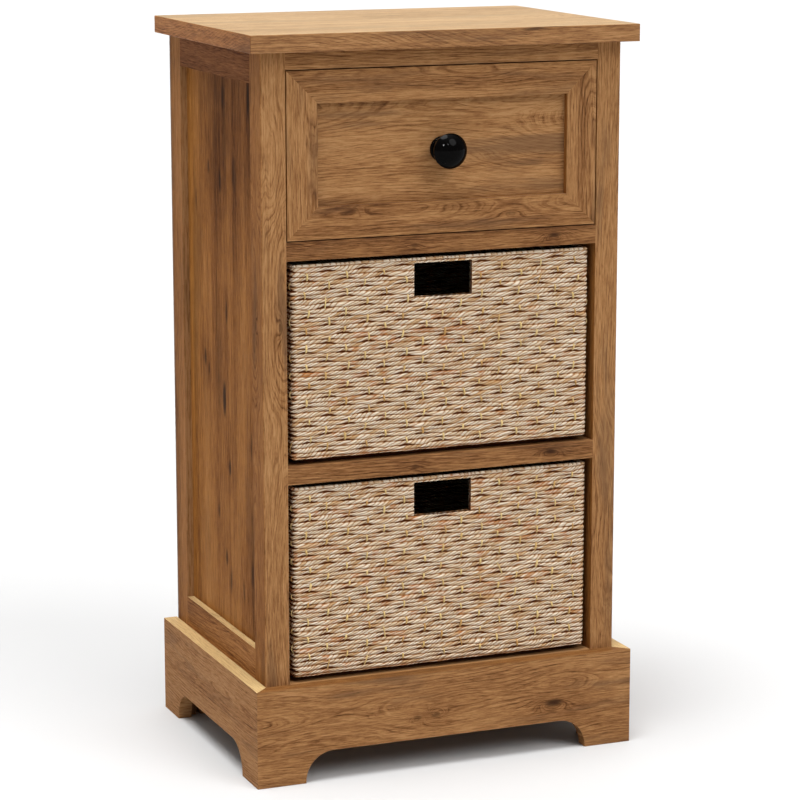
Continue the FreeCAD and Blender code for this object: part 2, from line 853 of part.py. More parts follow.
def make_drawer_box():
    """An open box: two grooved sides, a grooved front and back, and a thin bottom."""
    groove_low = "box_floor_low - box_play"
    groove_high = "box_floor + box_play"
    side = new_body("drawer_side_body")
    groove = "box_inner + box_groove_depth"
    corners = [
        ("box_half", "box_low"),
        ("box_half", "box_high"),
        ("box_inner", "box_high"),
        ("box_inner", groove_high),
        (groove, groove_high),
        (groove, groove_low),
        ("box_inner", groove_low),
        ("box_inner", "box_low"),
    ]
    fill(side, "XZ", corners, "front_back", "box_rear - front_back")
    screws = rider_screws("hole_play", "drawer_side_hole")
    right = keep(cut("drawer_side_right", side, screws), "drawer_side_right")
    mirror(right, "drawer_side_left")

    ends = {
        "drawer_box_front": ("front_back", "box_front_back", "box_front_back - box_groove_depth"),
        "drawer_box_back": ("box_rear", "box_rear - box_board", "box_rear - box_board + box_groove_depth"),
    }
    for name, (outer, inner, groove) in ends.items():
        body = new_body(name + "_body")
        corners = [
            (outer, "box_low"),
            (outer, "box_high"),
            (inner, "box_high"),
            (inner, groove_high),
            (groove, groove_high),
            (groove, groove_low),
            (inner, groove_low),
            (inner, "box_low"),
        ]
        fill(body, "YZ", corners, "-box_inner", "2 * box_inner")
        if name == "drawer_box_front":
            knob_hole = rod("box_front_hole", ("0", "front_back - overrun", "front_middle"), "y",
                            "knob_screw_radius + hole_play", "box_board + 2 * overrun")
            tools = [knob_hole] + front_screws("hole_play", "box_front_hole")
            keep(cut(name, body, tools), name)
        else:
            keep(body, name)

    edge = "box_groove_depth - box_play"
    low = (f"-(box_inner + {edge})", f"box_front_back - ({edge})", "box_floor_low")
    high = (f"box_inner + {edge}", f"box_rear - box_board + {edge}", "box_floor")
    keep(board("drawer_bottom", low, high), "drawer_bottom")


def make_knob():
    """A turned mushroom knob on its own round base, drawn up by a screw from inside."""
    seat = ("0", "trim_back", "front_middle")
    base = new_body("knob_base")
    corners = [
        ("knob_screw_radius + hole_play", "0"),
        ("knob_base_radius", "0"),
        ("knob_base_radius", "-(knob_base_thickness - knob_base_round)"),
        ("knob_base_radius - knob_base_round", "-knob_base_thickness", "knob_base_round", "right"),
        ("knob_screw_radius + hole_play", "-knob_base_thickness"),
    ]
    revolve(base, corners, "Y_Axis")
    place(keep(base, "knob_base"), seat)

    knob = new_body("knob")
    crown = "knob_dome_radius - sqrt(knob_dome_radius ^ 2 - knob_radius ^ 2)"
    shoulder = f"-(knob_projection - ({crown}))"
    corners = [
        ("0", "-(knob_base_thickness + knob_bore_depth)"),
        ("knob_screw_radius + hole_play", "-(knob_base_thickness + knob_bore_depth)"),
        ("knob_screw_radius + hole_play", "-knob_base_thickness"),
        ("knob_neck_radius", "-knob_base_thickness"),
        ("knob_neck_radius", "-knob_neck_height"),
        ("knob_radius", shoulder, "knob_under_radius", "right"),
        ("0", "-knob_projection", "knob_dome_radius", "right"),
    ]
    revolve(knob, corners, "Y_Axis")
    place(keep(knob, "knob"), seat)

    tip = "trim_back - knob_base_thickness - knob_bore_depth + hole_spare"
    length = f"box_front_back - ({tip})"
    head = ("screw_head_radius", "screw_head_height")
    spot = ("0", "box_front_back", "front_middle")
    screw = flat_head_shape("knob_screw", spot, "y", -1, head, ("knob_screw_radius", length))
    keep(screw, "knob_screw")


# Roller runners
def make_runner_battens():
    """Packing strips between the posts, so that each runner has wood behind its whole length."""
    low = ("opening_half", "front_post_back", "drawer_low")
    high = ("panel_inner", "rear_post_front", "drawer_low + runner_batten_height")
    strip = board("runner_batten_board", low, high)
    holes = channel_screws("hole_play", "batten_hole")
    right = keep(cut("runner_batten_right", strip, holes), "runner_batten_right")
    mirror(right, "runner_batten_left")


def channel_screws(play, name):
    """Two screws through the fixed runner's web into the batten."""
    head = ("runner_screw_head_radius", "runner_screw_head_height")
    shank = ("runner_screw_radius", "runner_screw_length")
    spots = ("runner_front + runner_screw_margin", "runner_rear - runner_screw_margin")
    return [
        flat_head_shape(name, ("web_inner", depth, "rear_roller_height"), "x", 1, head, shank, play)
        for depth in spots
    ]


def rider_screws(play, name):
    """Two screws through the moving runner's web into the drawer's side."""
    head = ("runner_screw_head_radius", "runner_screw_head_height")
    shank = ("runner_screw_radius", "box_board - hole_spare")
    spots = ("runner_front + runner_screw_margin", "runner_rear - runner_screw_margin")
    return [
        flat_head_shape(name, ("rider_web", depth, "rear_roller_height"), "x", -1, head, shank, play)
        for depth in spots
    ]


def make_channels():
    """The fixed runner: a folded channel open towards the drawer. Its top flange stops short of
    the front roller, which stands a little above it."""
    body = new_body("runner_channel_body")
    edge = "opening_half - runner_flange"
    corners = [
        ("opening_half", "box_low"),
        ("opening_half", "channel_top"),
        (edge, "channel_top"),
        (edge, "channel_ceiling"),
        ("web_inner", "channel_ceiling"),
        ("web_inner", "box_low + runner_sheet"),
        (edge, "box_low + runner_sheet"),
        (edge, "box_low"),
    ]
    fill(body, "XZ", corners, "runner_front", "runner_length")
    relief = rectangle((f"{edge} - overrun", "channel_ceiling"), ("web_inner", "channel_top + overrun"))
    length = "roller_inset + roller_radius + flange_clearance + overrun"
    carve(body, "XZ", relief, "runner_front - overrun", length)
    sketch = new_sketch(body, "YZ", "web_inner - overrun")
    add_circle(sketch, ("front_roller_spot", "front_roller_height"), "axle_radius")
    for depth in ("runner_front + runner_screw_margin", "runner_rear - runner_screw_margin"):
        add_circle(sketch, (depth, "rear_roller_height"), "runner_screw_radius + hole_play")
    pocket(body, sketch, "YZ", "runner_sheet + 2 * overrun")
    right = keep(body, "runner_channel_right")
    mirror(right, "runner_channel_left")


def make_riders():
    """The moving runner: a flange under the drawer's side, a web up its face and a flange
    turned out over the channel, which rides on the front roller."""
    body = new_body("runner_rider_body")
    corners = [
        ("box_inner", "box_low - runner_sheet"),
        ("rider_web", "box_low - runner_sheet"),
        ("rider_web", "rider_low"),
        ("rider_edge", "rider_low"),
        ("rider_edge", "rider_high"),
        ("box_half", "rider_high"),
        ("box_half", "box_low"),
        ("box_inner", "box_low"),
    ]
    fill(body, "XZ", corners, "runner_front", "runner_length")
    sketch = new_sketch(body, "YZ", "box_half - overrun")
    add_circle(sketch, ("rear_roller_spot", "rear_roller_height"), "axle_radius")
    for depth in ("runner_front + runner_screw_margin", "runner_rear - runner_screw_margin"):
        add_circle(sketch, (depth, "rear_roller_height"), "runner_screw_radius + hole_play")
    pocket(body, sketch, "YZ", "runner_sheet + 2 * overrun")
    right = keep(body, "runner_rider_right")
    mirror(right, "runner_rider_left")


def make_rollers():
    """Nylon rollers on riveted axles: one at the front of each channel, one at the rear of each
    rider. An axle starts at the outer face of its web and ends in a head past the roller."""
    rows = {
        "front": ("opening_half", "-", "front_roller_spot", "front_roller_height"),
        "rear": ("box_half", "", "rear_roller_spot", "rear_roller_height"),
    }
    for name, (face, sign, depth, height) in rows.items():
        near_side = "runner_sheet + roller_side_gap"
        far_side = f"{near_side} + roller_width"
        roller = new_body(name + "_roller_body")
        corners = [
            (f"{sign}({near_side})", "axle_radius + axle_fit"),
            (f"{sign}({near_side})", "roller_radius - roller_bevel"),
            (f"{sign}({near_side} + roller_bevel)", "roller_radius"),
            (f"{sign}({far_side} - roller_bevel)", "roller_radius"),
            (f"{sign}({far_side})", "roller_radius - roller_bevel"),
            (f"{sign}({far_side})", "axle_radius + axle_fit"),
        ]
        revolve(roller, corners, "X_Axis")
        place(keep(roller, name + "_roller_right"), (face, depth, height))
        mirror(roller, name + "_roller_left")

        axle = new_body(name + "_axle_body")
        head_start = f"{far_side} + roller_play"
        corners = [
            ("0", "0"),
            ("0", "axle_radius"),
            (f"{sign}({head_start})", "axle_radius"),
            (f"{sign}({head_start})", "axle_head_radius"),
            (f"{sign}({head_start} + axle_head_height)", "axle_head_radius"),
            (f"{sign}({head_start} + axle_head_height)", "0"),
        ]
        revolve(axle, corners, "X_Axis")
        place(keep(axle, name + "_axle_right"), (face, depth, height))
        mirror(axle, name + "_axle_left")


# Baskets
def make_basket(name, floor):
    """A woven box with an open top and a hand hole in its front, and the wire frame inside it
    that keeps its shape."""
    weave = new_body(name + "_weave")
    outer = rounded_rectangle("basket_half", "basket_length / 2", "basket_corner")
    fill(weave, "XY", outer, "0", "basket_height")
    inner = rounded_rectangle("(basket_half - basket_wall)", "(basket_length / 2 - basket_wall)",
                              "(basket_corner - basket_wall)")
    carve(weave, "XY", inner, "basket_wall", "basket_height")
    sketch = new_sketch(weave, "XZ", "-basket_length / 2 - overrun")
    add_loop(sketch, handle_hole())
    pocket(weave, sketch, "XZ", "basket_wall + 2 * overrun")
    dress(weave, "Fillet", "basket_edge_round", is_basket_edge)
    spot = ("0", "basket_middle", f"{floor} + basket_seat_gap")
    place(keep(weave, name + "_weave"), spot)

    wire = new_body(name + "_frame")
    for level in ("wire_low", "wire_high"):
        path = new_sketch(wire, "XY", level)
        add_loop(path, rounded_rectangle("wire_half", "wire_depth", "basket_wire_corner"))
        section = new_sketch(wire, "YZ")
        add_circle(section, ("-wire_depth", level), "basket_wire_radius")
        ring = wire.newObject("PartDesign::AdditivePipe", name + "_ring")
        ring.Profile = section
        ring.Spine = path
    uprights = new_sketch(wire, "XY", "wire_low")
    for across in ("-wire_half", "wire_half"):
        for depth in ("-(wire_depth - basket_wire_corner)", "wire_depth - basket_wire_corner"):
            add_circle(uprights, (across, depth), "basket_wire_radius")
    pad(wire, uprights, "XY", "wire_high - wire_low")
    place(keep(wire, name + "_frame"), spot)


def handle_hole():
    """The hand hole, a rounded rectangle just below the rim."""
    half = "handle_width / 2"
    high = "basket_height - handle_drop"
    low = f"{high} - handle_height"
    return [
        (f"-{half} + handle_corner", low, "handle_corner", "left"),
        (f"{half} - handle_corner", low),
        (half, f"{low} + handle_corner", "handle_corner", "left"),
        (half, f"{high} - handle_corner"),
        (f"{half} - handle_corner", high, "handle_corner", "left"),
        (f"-{half} + handle_corner", high),
        (f"-{half}", f"{high} - handle_corner", "handle_corner", "left"),
        (f"-{half}", f"{low} + handle_corner"),
    ]


def is_basket_edge(edge):
    """Whether an edge runs round the basket's outer bottom or its rim."""
    heights = [vertex.Point.z for vertex in edge.Vertexes]
    bottom = all(near(z, "0") for z in heights)
    rim = all(near(z, "basket_height") for z in heights)
    return bottom or rim


def make_fasteners():
    """Groups of like screws and nails, each group on one body."""
    keep(group("top_screws", top_screws("0", "top_screw")), "top_screws")
    keep(group("back_nails", back_nails("0", "back_nail", ALL_NAILS)), "back_nails")
    keep(group("drawer_front_screws", front_screws("0", "front_screw")), "drawer_front_screws")
    for name, maker in (("channel_screws", channel_screws), ("rider_screws", rider_screws)):
        right = group(name + "_right", maker("0", "one_of_" + name))
        keep(group(name, [right, mirrored(right, name + "_left")]), name)


def check_and_export():
    """Stops on any object that failed and any shape that isn't valid, then writes the files."""
    doc.recompute()
    for item in doc.Objects:
        if "Invalid" in item.State or "Error" in item.State:
            raise RuntimeError(f"{item.Name} is {item.State}")
    for part in parts:
        if part.Shape.isNull() or not part.Shape.isValid() or not part.Shape.Solids:
            raise RuntimeError(f"{part.Label} has no valid shape")
    os.makedirs("parts", exist_ok=True)
    for part in parts:
        part.Shape.exportStep(os.path.join("parts", part.Label + ".step"))
        print(f"{part.Label}: {len(part.Shape.Solids)} solids, {part.Shape.Volume / 1000:.1f} cm3")


make_top_panel()
make_posts()
make_side_rails()
make_side_panels()
make_cross_rails()
make_shelves()
make_back_panel()
make_plinth()
make_dowels()
make_drawer_front()
make_drawer_box()
make_knob()
make_runner_battens()
make_channels()
make_riders()
make_rollers()
make_basket("upper_basket", "upper_bay_floor")
make_basket("lower_basket", "plinth_height")
make_fasteners()
check_and_export()
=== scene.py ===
"""The looks of a narrow storage cabinet: oak-finish boards, a glossy knob, roller runners and two
woven seagrass baskets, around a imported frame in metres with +Z up and the front towards -Y."""

import math

import bpy
import numpy as np
from bpy.props import FloatProperty, FloatVectorProperty, IntProperty, PointerProperty
from mathutils import Euler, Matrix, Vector


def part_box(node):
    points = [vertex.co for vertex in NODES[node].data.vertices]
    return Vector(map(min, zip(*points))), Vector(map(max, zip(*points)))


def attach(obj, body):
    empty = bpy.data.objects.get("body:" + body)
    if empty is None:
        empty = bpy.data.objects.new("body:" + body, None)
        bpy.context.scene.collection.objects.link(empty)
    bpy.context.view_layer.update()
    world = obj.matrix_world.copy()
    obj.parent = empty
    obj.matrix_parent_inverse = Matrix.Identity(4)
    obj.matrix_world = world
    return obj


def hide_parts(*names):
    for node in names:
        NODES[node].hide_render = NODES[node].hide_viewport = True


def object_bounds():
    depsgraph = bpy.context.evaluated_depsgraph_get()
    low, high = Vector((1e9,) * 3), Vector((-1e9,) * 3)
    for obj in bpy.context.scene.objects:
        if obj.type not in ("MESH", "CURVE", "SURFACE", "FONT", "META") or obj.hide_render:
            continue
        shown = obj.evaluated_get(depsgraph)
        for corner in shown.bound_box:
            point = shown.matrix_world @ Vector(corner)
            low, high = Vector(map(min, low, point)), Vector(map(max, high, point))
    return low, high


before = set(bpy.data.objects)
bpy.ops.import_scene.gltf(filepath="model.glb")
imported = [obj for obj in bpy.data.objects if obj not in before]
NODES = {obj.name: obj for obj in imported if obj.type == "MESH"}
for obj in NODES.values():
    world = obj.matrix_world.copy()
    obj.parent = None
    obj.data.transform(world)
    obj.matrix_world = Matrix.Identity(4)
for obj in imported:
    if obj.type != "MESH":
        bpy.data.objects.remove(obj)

bl_info = {
    "name": "Storage Cabinet",
    "version": (1, 0, 0),
    "blender": (4, 5, 0),
    "location": "View3D > Sidebar > Cabinet",
    "description": "Finishes the boards, fittings and woven baskets of a narrow storage cabinet",
    "category": "Object",
}

MM = 0.001
CASE_LOW, CASE_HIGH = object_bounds()

# For each board: the axis of its grain, how wild its figure is, its share of dark flecks, and
# how much darker than usual it is
CASE_BOARDS = {
    "top_panel": ("x", 0.8, 0.05, 0.12),
    "top_front_rail": ("x", 0.6, 0.05, 0.08),
    "top_rear_rail": ("x", 0.6, 0.05, 0.0),
    "plinth_front": ("x", 0.9, 0.03, 0.09),
    "plinth_rear": ("x", 0.7, 0.05, 0.0),
    "upper_shelf": ("x", 0.6, 0.03, 0.26),
    "middle_shelf": ("x", 0.6, 0.03, 0.2),
    "bottom_shelf": ("x", 0.6, 0.05, 0.0),
    "side_top_rail_left": ("y", 0.7, 0.05, 0.2),
    "side_top_rail_right": ("y", 0.7, 0.05, 0.2),
    "side_bottom_rail_left": ("y", 0.5, 0.05, 0.08),
    "side_bottom_rail_right": ("y", 0.5, 0.05, 0.08),
    "plinth_left": ("y", 0.8, 0.05, -0.06),
    "plinth_right": ("y", 0.8, 0.05, -0.06),
    "front_post_left": ("z", 0.9, 0.03, 0.03),
    "front_post_right": ("z", 0.9, 0.03, 0.0),
    "rear_post_left": ("z", 0.5, 0.05, 0.0),
    "rear_post_right": ("z", 0.5, 0.05, 0.0),
    "side_panel_left": ("z", 0.22, 0.12, 0.03),
    "side_panel_right": ("z", 0.22, 0.12, 0.05),
}
DRAWER_BOARDS = {
    "drawer_front_panel": ("x", 0.75, 0.02, -0.03),
    "drawer_trim_top": ("x", 0.6, 0.03, 0.12),
    "drawer_trim_bottom": ("x", 0.6, 0.03, 0.18),
    "drawer_trim_left": ("z", 0.6, 0.03, 0.04),
    "drawer_trim_right": ("z", 0.45, 0.03, 0.1),
    "drawer_box_front": ("x", 0.5, 0.05, 0.0),
    "drawer_box_back": ("x", 0.5, 0.05, 0.0),
    "drawer_bottom": ("x", 0.5, 0.05, 0.0),
    "drawer_side_left": ("y", 0.5, 0.05, 0.0),
    "drawer_side_right": ("y", 0.5, 0.05, 0.0),
    "runner_batten_left": ("y", 0.5, 0.05, 0.0),
    "runner_batten_right": ("y", 0.5, 0.05, 0.0),
}
# By how a board's name begins: its sheen, how much painted light lightens its upper faces, and
# the painted shade that darkens and warms its faces towards the sides
SHEENS = (("top_panel", 0.1), ("", 0.02))
PAINTED_TOP_LIGHT_SHARES = (("top_panel", 0.28), ("plinth_left", 0.45), ("plinth_right", 0.45),
          ("side_bottom_rail", 0.45), ("", 0.0))
PAINTED_SIDE_SHADE = (("side_panel", (0.99, 0.8, 0.46)), ("plinth", (1.0, 0.94, 0.87)),
              ("top_panel", (1.15, 0.89, 0.5)), ("side_top_rail", (0.65, 0.46, 0.28)),
              ("side_bottom_rail", (0.96, 0.8, 0.58)), ("", (0.88, 0.71, 0.46)))
# Painted shade: what the colour of the ledge over the plinth's front is multiplied by, to darken
# it under the basket above
PAINTED_LEDGE_SHADE = (0.72, 0.65, 0.52)
# The oak print's layers of noise: changes to a metre along the grain and across it, detail,
# roughness, and the layer's own place
OAK_NOISE = {
    "heart": (2.4, 0.0, 1.0, 0.5, 0.0), "depth": (3.6, 5.0, 1.0, 0.5, 1.7),
    "drift": (9.0, 55.0, 2.0, 0.5, 3.1), "tremble": (60.0, 300.0, 1.0, 0.5, 4.4),
    "uneven": (7.0, 70.0, 2.0, 0.5, 5.9), "faint": (16.0, 150.0, 2.0, 0.5, 6.7),
    "streak": (1.3, 58.0, 3.0, 0.6, 9.7), "cloud": (4.5, 17.0, 2.0, 0.5, 11.2),
    "smoke": (5.5, 42.0, 4.0, 0.6, 12.4), "pores": (90.0, 2400.0, 1.0, 0.5, 18.6),
    "specks": (120.0, 950.0, 2.0, 0.6, 21.3),
}
# How far apart two boards lie in that noise, and how dark the print is without its layers
BOARD_STEP = 7.31
PLAIN_DARKNESS = 0.245
# Knots and cracks in millimetres: their middle, half their length along the grain and half their
# width, then how dark they are, and how many rings bend round them
MARKS = {
    "plinth_front": [((115, -140, 50), 15, 6, 0.9, 5), ((-33, -140, 52), 7, 4, 0.4, 3),
                     ((-13, -140, 53), 7, 4, 0.5, -3), ((-125, -140, 47), 60, 9, 0.0, 4.5)],
    "upper_shelf": [((117, -126, 521), 11, 4, 0.9, 4), ((-31, -126, 519), 6, 3, 0.5, 1)],
    "middle_shelf": [((115, -126, 305), 11, 4, 0.9, 4), ((-30, -126, 302), 6, 3, 0.5, 1)],
    "drawer_front_panel": [((60, -120, 655), 62, 6, 0.15, 2), ((0, -120, 610), 45, 8, 0.0, 2.5)],
    "drawer_trim_bottom": [((-95, -126, 555), 10, 3.5, 0.4, 1), ((70, -126, 545), 9, 3, 0.35, 1)],
    "front_post_left": [((-168, -126, 448), 9, 3, 0.4, 2), ((-175, -126, 585), 34, 5, 0.0, 3)],
    "side_panel_left": [
        ((-179, 7, 357), 26, 8, 1.0, 1), ((-179, -8, 289), 12, 5, 0.9, 1),
        ((-179, 64, 389), 13, 5, 0.8, 0), ((-179, 53, 379), 9, 4, 0.6, 0),
        ((-179, -2, 444), 18, 5, 0.8, 0), ((-179, 27, 238), 14, 5, 0.6, 1),
        ((-179, 5, 195), 13, 5, 0.8, 0), ((-179, -72, 195), 22, 5.5, 0.9, 1),
        ((-179, -85, 190), 18, 4.5, 0.8, 0), ((-179, -72, 322), 22, 4.5, 0.6, 0),
        ((-179, -29, 582), 26, 10, 0.6, 1), ((-179, 2, 655), 22, 7, 0.9, 1),
        ((-179, -71, 658), 30, 6, 1.0, 1), ((-179, -81, 652), 26, 5, 0.9, 0),
        ((-179, 14, 572), 18, 6, 0.9, 1), ((-179, 48, 583), 12, 5, 0.7, 0)],
    "side_panel_right": [((179, -20, 410), 24, 7, 1.0, 1), ((179, 40, 250), 14, 5, 0.7, 1),
                         ((179, 60, 520), 16, 5, 0.8, 0)],
    "top_panel": [((22, 58, 725), 12, 4, 0.5, 3), ((-8, 42, 725), 12, 3, 0.3, 2)],
}
# The values that a basket's mesh carries at each point: its row, its place along the rope, how
# rusty the rope is, and how open the weave is there plus painted shade, both of which darken it
WEAVE_LAYERS = ("weave_row", "weave_lay", "weave_rust", "weave_gap")
# For each basket: the first of its random seeds, and how rusty its rope is, from -1
BASKETS = {"upper_basket": (40, -0.8), "lower_basket": (70, -0.66)}
# How far a strand leans over the width of its rope, and how far the strands of one row lie past
# those of the row below, both in strands
STRAND_LEAN = 0.85
ROW_STEP = 0.37


def tone(red, green, blue):
    """A shader colour from screen values of 0 to 255."""
    parts = (value / 255 for value in (red, green, blue))
    return tuple(v / 12.92 if v <= 0.04045 else ((v + 0.055) / 1.055) ** 2.4 for v in parts)


def by_name(pairs, board):
    """The value of the first pair whose text begins the board's name."""
    return next(value for start, value in pairs if board.startswith(start))


# Settings
def colour(name, description, default):
    """A colour setting."""
    return FloatVectorProperty(name=name, description=description, subtype="COLOR", size=3,
                               min=0, max=1, default=default)


def length(name, description, default):
    """A length setting in metres."""
    return FloatProperty(name=name, description=description, default=default, min=0,
                         unit="LENGTH", precision=4)


class OakSettings(bpy.types.PropertyGroup):
    """The boards' printed oak finish."""

    light: colour("Light wood", "Wood between the growth rings", tone(168, 126, 84))
    middle: colour("Middle wood", "The boards' usual colour", tone(146, 104, 65))
    brown: colour("Brown wood", "Late wood in the growth rings", tone(112, 74, 44))
    dark: colour("Dark wood", "The darkest rings", tone(76, 48, 29))
    smoke: colour("Smoke", "Grey brown patches near the knots", tone(96, 70, 50))
    knot: colour("Knot", "Knots and short cracks", tone(40, 26, 18))
    # Painted light: the colour that the upper faces are lightened towards
    painted_top_light: colour("Painted top light", "Painted light that the upper faces are lightened towards", tone(219, 191, 135))
    ring_width: length("Ring width", "Usual distance between growth rings", 0.0031)
    roughness: FloatProperty(name="Roughness", description="Of the satin foil", default=0.42,
                             min=0, max=1, subtype="FACTOR")


class BasketSettings(bpy.types.PropertyGroup):
    """The woven baskets."""

    rope: colour("Rope", "Seagrass rope on its crests", tone(211, 193, 168))
    # Tan and Groove are partly the rope's own darker fibres and partly painted shade between
    # strands and rows
    tan: colour("Tan", "Rope between its strands", tone(158, 106, 56))
    shade: colour("Groove", "Rope between its rows", tone(80, 38, 14))
    rust: colour("Rust", "Reddish brown strands", tone(168, 98, 44))
    straw: colour("Stitch", "Straw that ties the ropes", tone(190, 153, 88))
    rope_width: length("Rope width", "Distance from row to row", 0.00438)
    strand_length: length("Strand length", "Distance between strands along a rope", 0.0060)
    stitch_gap: length("Stitch spacing", "Distance between columns of stitches", 0.020)
    rows_a_stitch: IntProperty(name="Rows a stitch", description="Rows from stitch to stitch",
                               default=4, min=2)


class StageSettings(bpy.types.PropertyGroup):
    """The camera and the floor."""

    place: FloatVectorProperty(name="Camera", description="Where the camera stands", size=3,
                               subtype="TRANSLATION", unit="LENGTH",
                               default=(-1.1023, -2.6943, 0.9295))
    lens: FloatProperty(name="Lens", description="Focal length in millimetres", default=132.1,
                        min=1, unit="CAMERA")
    heading: FloatProperty(name="Heading", description="The camera's turn to the right",
                           subtype="ANGLE", default=math.radians(22.36))
    tilt: FloatProperty(name="Tilt", description="The camera's tilt downwards",
                        subtype="ANGLE", default=math.radians(11.4))
    paper: colour("Floor", "The pale floor", (0.56, 0.56, 0.56))


# Shader expressions
class Value:
    """A shader socket: arithmetic with it adds Math nodes."""

    def __init__(self, surface, socket):
        self.surface = surface
        self.socket = socket

    def math(self, operation, *values):
        """A Math node of this and other values."""
        sockets = dict(enumerate((self, *values)))
        return self.surface.node("ShaderNodeMath", {"operation": operation}, sockets)

    def swapped(self, operation, other):
        """A Math node with this as its second value."""
        return self.surface.node("ShaderNodeMath", {"operation": operation}, {0: other, 1: self})

    def __add__(self, other):
        return self.math("ADD", other)

    def __radd__(self, other):
        return self.swapped("ADD", other)

    def __sub__(self, other):
        return self.math("SUBTRACT", other)

    def __rsub__(self, other):
        return self.swapped("SUBTRACT", other)

    def __mul__(self, other):
        return self.math("MULTIPLY", other)

    def __rmul__(self, other):
        return self.swapped("MULTIPLY", other)

    def __pow__(self, other):
        return self.math("POWER", other)

    def __abs__(self):
        return self.math("ABSOLUTE")

    def __gt__(self, other):
        return self.math("GREATER_THAN", other)


class Surface:
    """A material or world and the expressions that colour it."""

    def __init__(self, holder):
        self.holder = holder
        holder.use_nodes = True
        self.tree = holder.node_tree
        self.tree.nodes.clear()

    def node(self, kind, settings=None, sockets=None, output=0):
        """Any node, from its settings and the values or links of its sockets."""
        node = self.tree.nodes.new(kind)
        for key, value in (settings or {}).items():
            if key == "stops":
                self.set_stops(node.color_ramp, value)
            else:
                setattr(node, key, value)
        for key, value in (sockets or {}).items():
            if isinstance(value, Value):
                self.tree.links.new(value.socket, node.inputs[key])
            else:
                node.inputs[key].default_value = value
        return Value(self, node.outputs[output]) if node.outputs else None

    @staticmethod
    def set_stops(ramp, stops):
        """Sets a ramp's places and colours."""
        while len(ramp.elements) < len(stops):
            ramp.elements.new(1)
        for element, (place, shade) in zip(ramp.elements, stops):
            element.position = place
            element.color = (*shade, 1)

    def coordinates(self, output="Object"):
        """X, Y and Z of the piece's own place or normal."""
        source = self.node("ShaderNodeTexCoord", output=output)
        return [self.node("ShaderNodeSeparateXYZ", None, {0: source}, axis) for axis in range(3)]

    def attribute(self, name):
        """A value that the mesh carries."""
        return self.node("ShaderNodeAttribute", {"attribute_name": name}, output="Fac")

    def vector(self, x, y, z):
        """A vector of three values."""
        return self.node("ShaderNodeCombineXYZ", None, {0: x, 1: y, 2: z})

    def noise(self, vector, detail=2.0, roughness=0.5):
        """Smooth noise of about 0 to 1 at a scale of one."""
        sockets = {"Vector": vector, "Scale": 1.0, "Detail": detail, "Roughness": roughness}
        return self.node("ShaderNodeTexNoise", None, sockets)

    def noise_over(self, x_rate, y_rate, z_rate, detail=2.0, roughness=0.5):
        """Noise over the piece, from its changes to a metre along X, Y and Z."""
        x, y, z = self.coordinates()
        return self.noise(self.vector(x * x_rate, y * y_rate, z * z_rate), detail, roughness)

    def cells(self, vector, output):
        """Distance to the nearest of scattered points, or that point's own colour."""
        return self.node("ShaderNodeTexVoronoi", None, {"Vector": vector, "Scale": 1.0}, output)

    def rise(self, value, low, high):
        """0 below one value, 1 above another, and smooth between."""
        sockets = {"Value": value, "From Min": low, "From Max": high}
        return self.node("ShaderNodeMapRange", {"interpolation_type": "SMOOTHSTEP"}, sockets)

    def wave(self, value):
        """0 at each whole number, rising straight to 1 half way between them."""
        return 1 - abs(value.math("FRACT") * 2.0 - 1.0)

    def blend(self, share, first, second, way="MIX"):
        """Two colours mixed, or the first multiplied by the second."""
        pair = [c if isinstance(c, Value) else (*c, 1) for c in (first, second)]
        return self.node("ShaderNodeMix", {"data_type": "RGBA", "blend_type": way},
                         {0: share, 6: pair[0], 7: pair[1]}, 2)

    def ramp(self, value, stops):
        """A colour for each value."""
        return self.node("ShaderNodeValToRGB", {"stops": stops}, {0: value})

    def bump(self, height, depth, strength=1.0):
        """A normal from a height of 0 to 1."""
        sockets = {"Height": height, "Distance": depth, "Strength": strength}
        return self.node("ShaderNodeBump", None, sockets)

    def finish(self, **sockets):
        """The material, from its shader's sockets. An underscore stands for a space."""
        named = {key.replace("_", " "): value for key, value in sockets.items()}
        shader = self.node("ShaderNodeBsdfPrincipled", None, named)
        self.node("ShaderNodeOutputMaterial", None, {"Surface": shader})
        return self.holder


def material(name):
    """An empty surface with a name."""
    return Surface(bpy.data.materials.new(name))


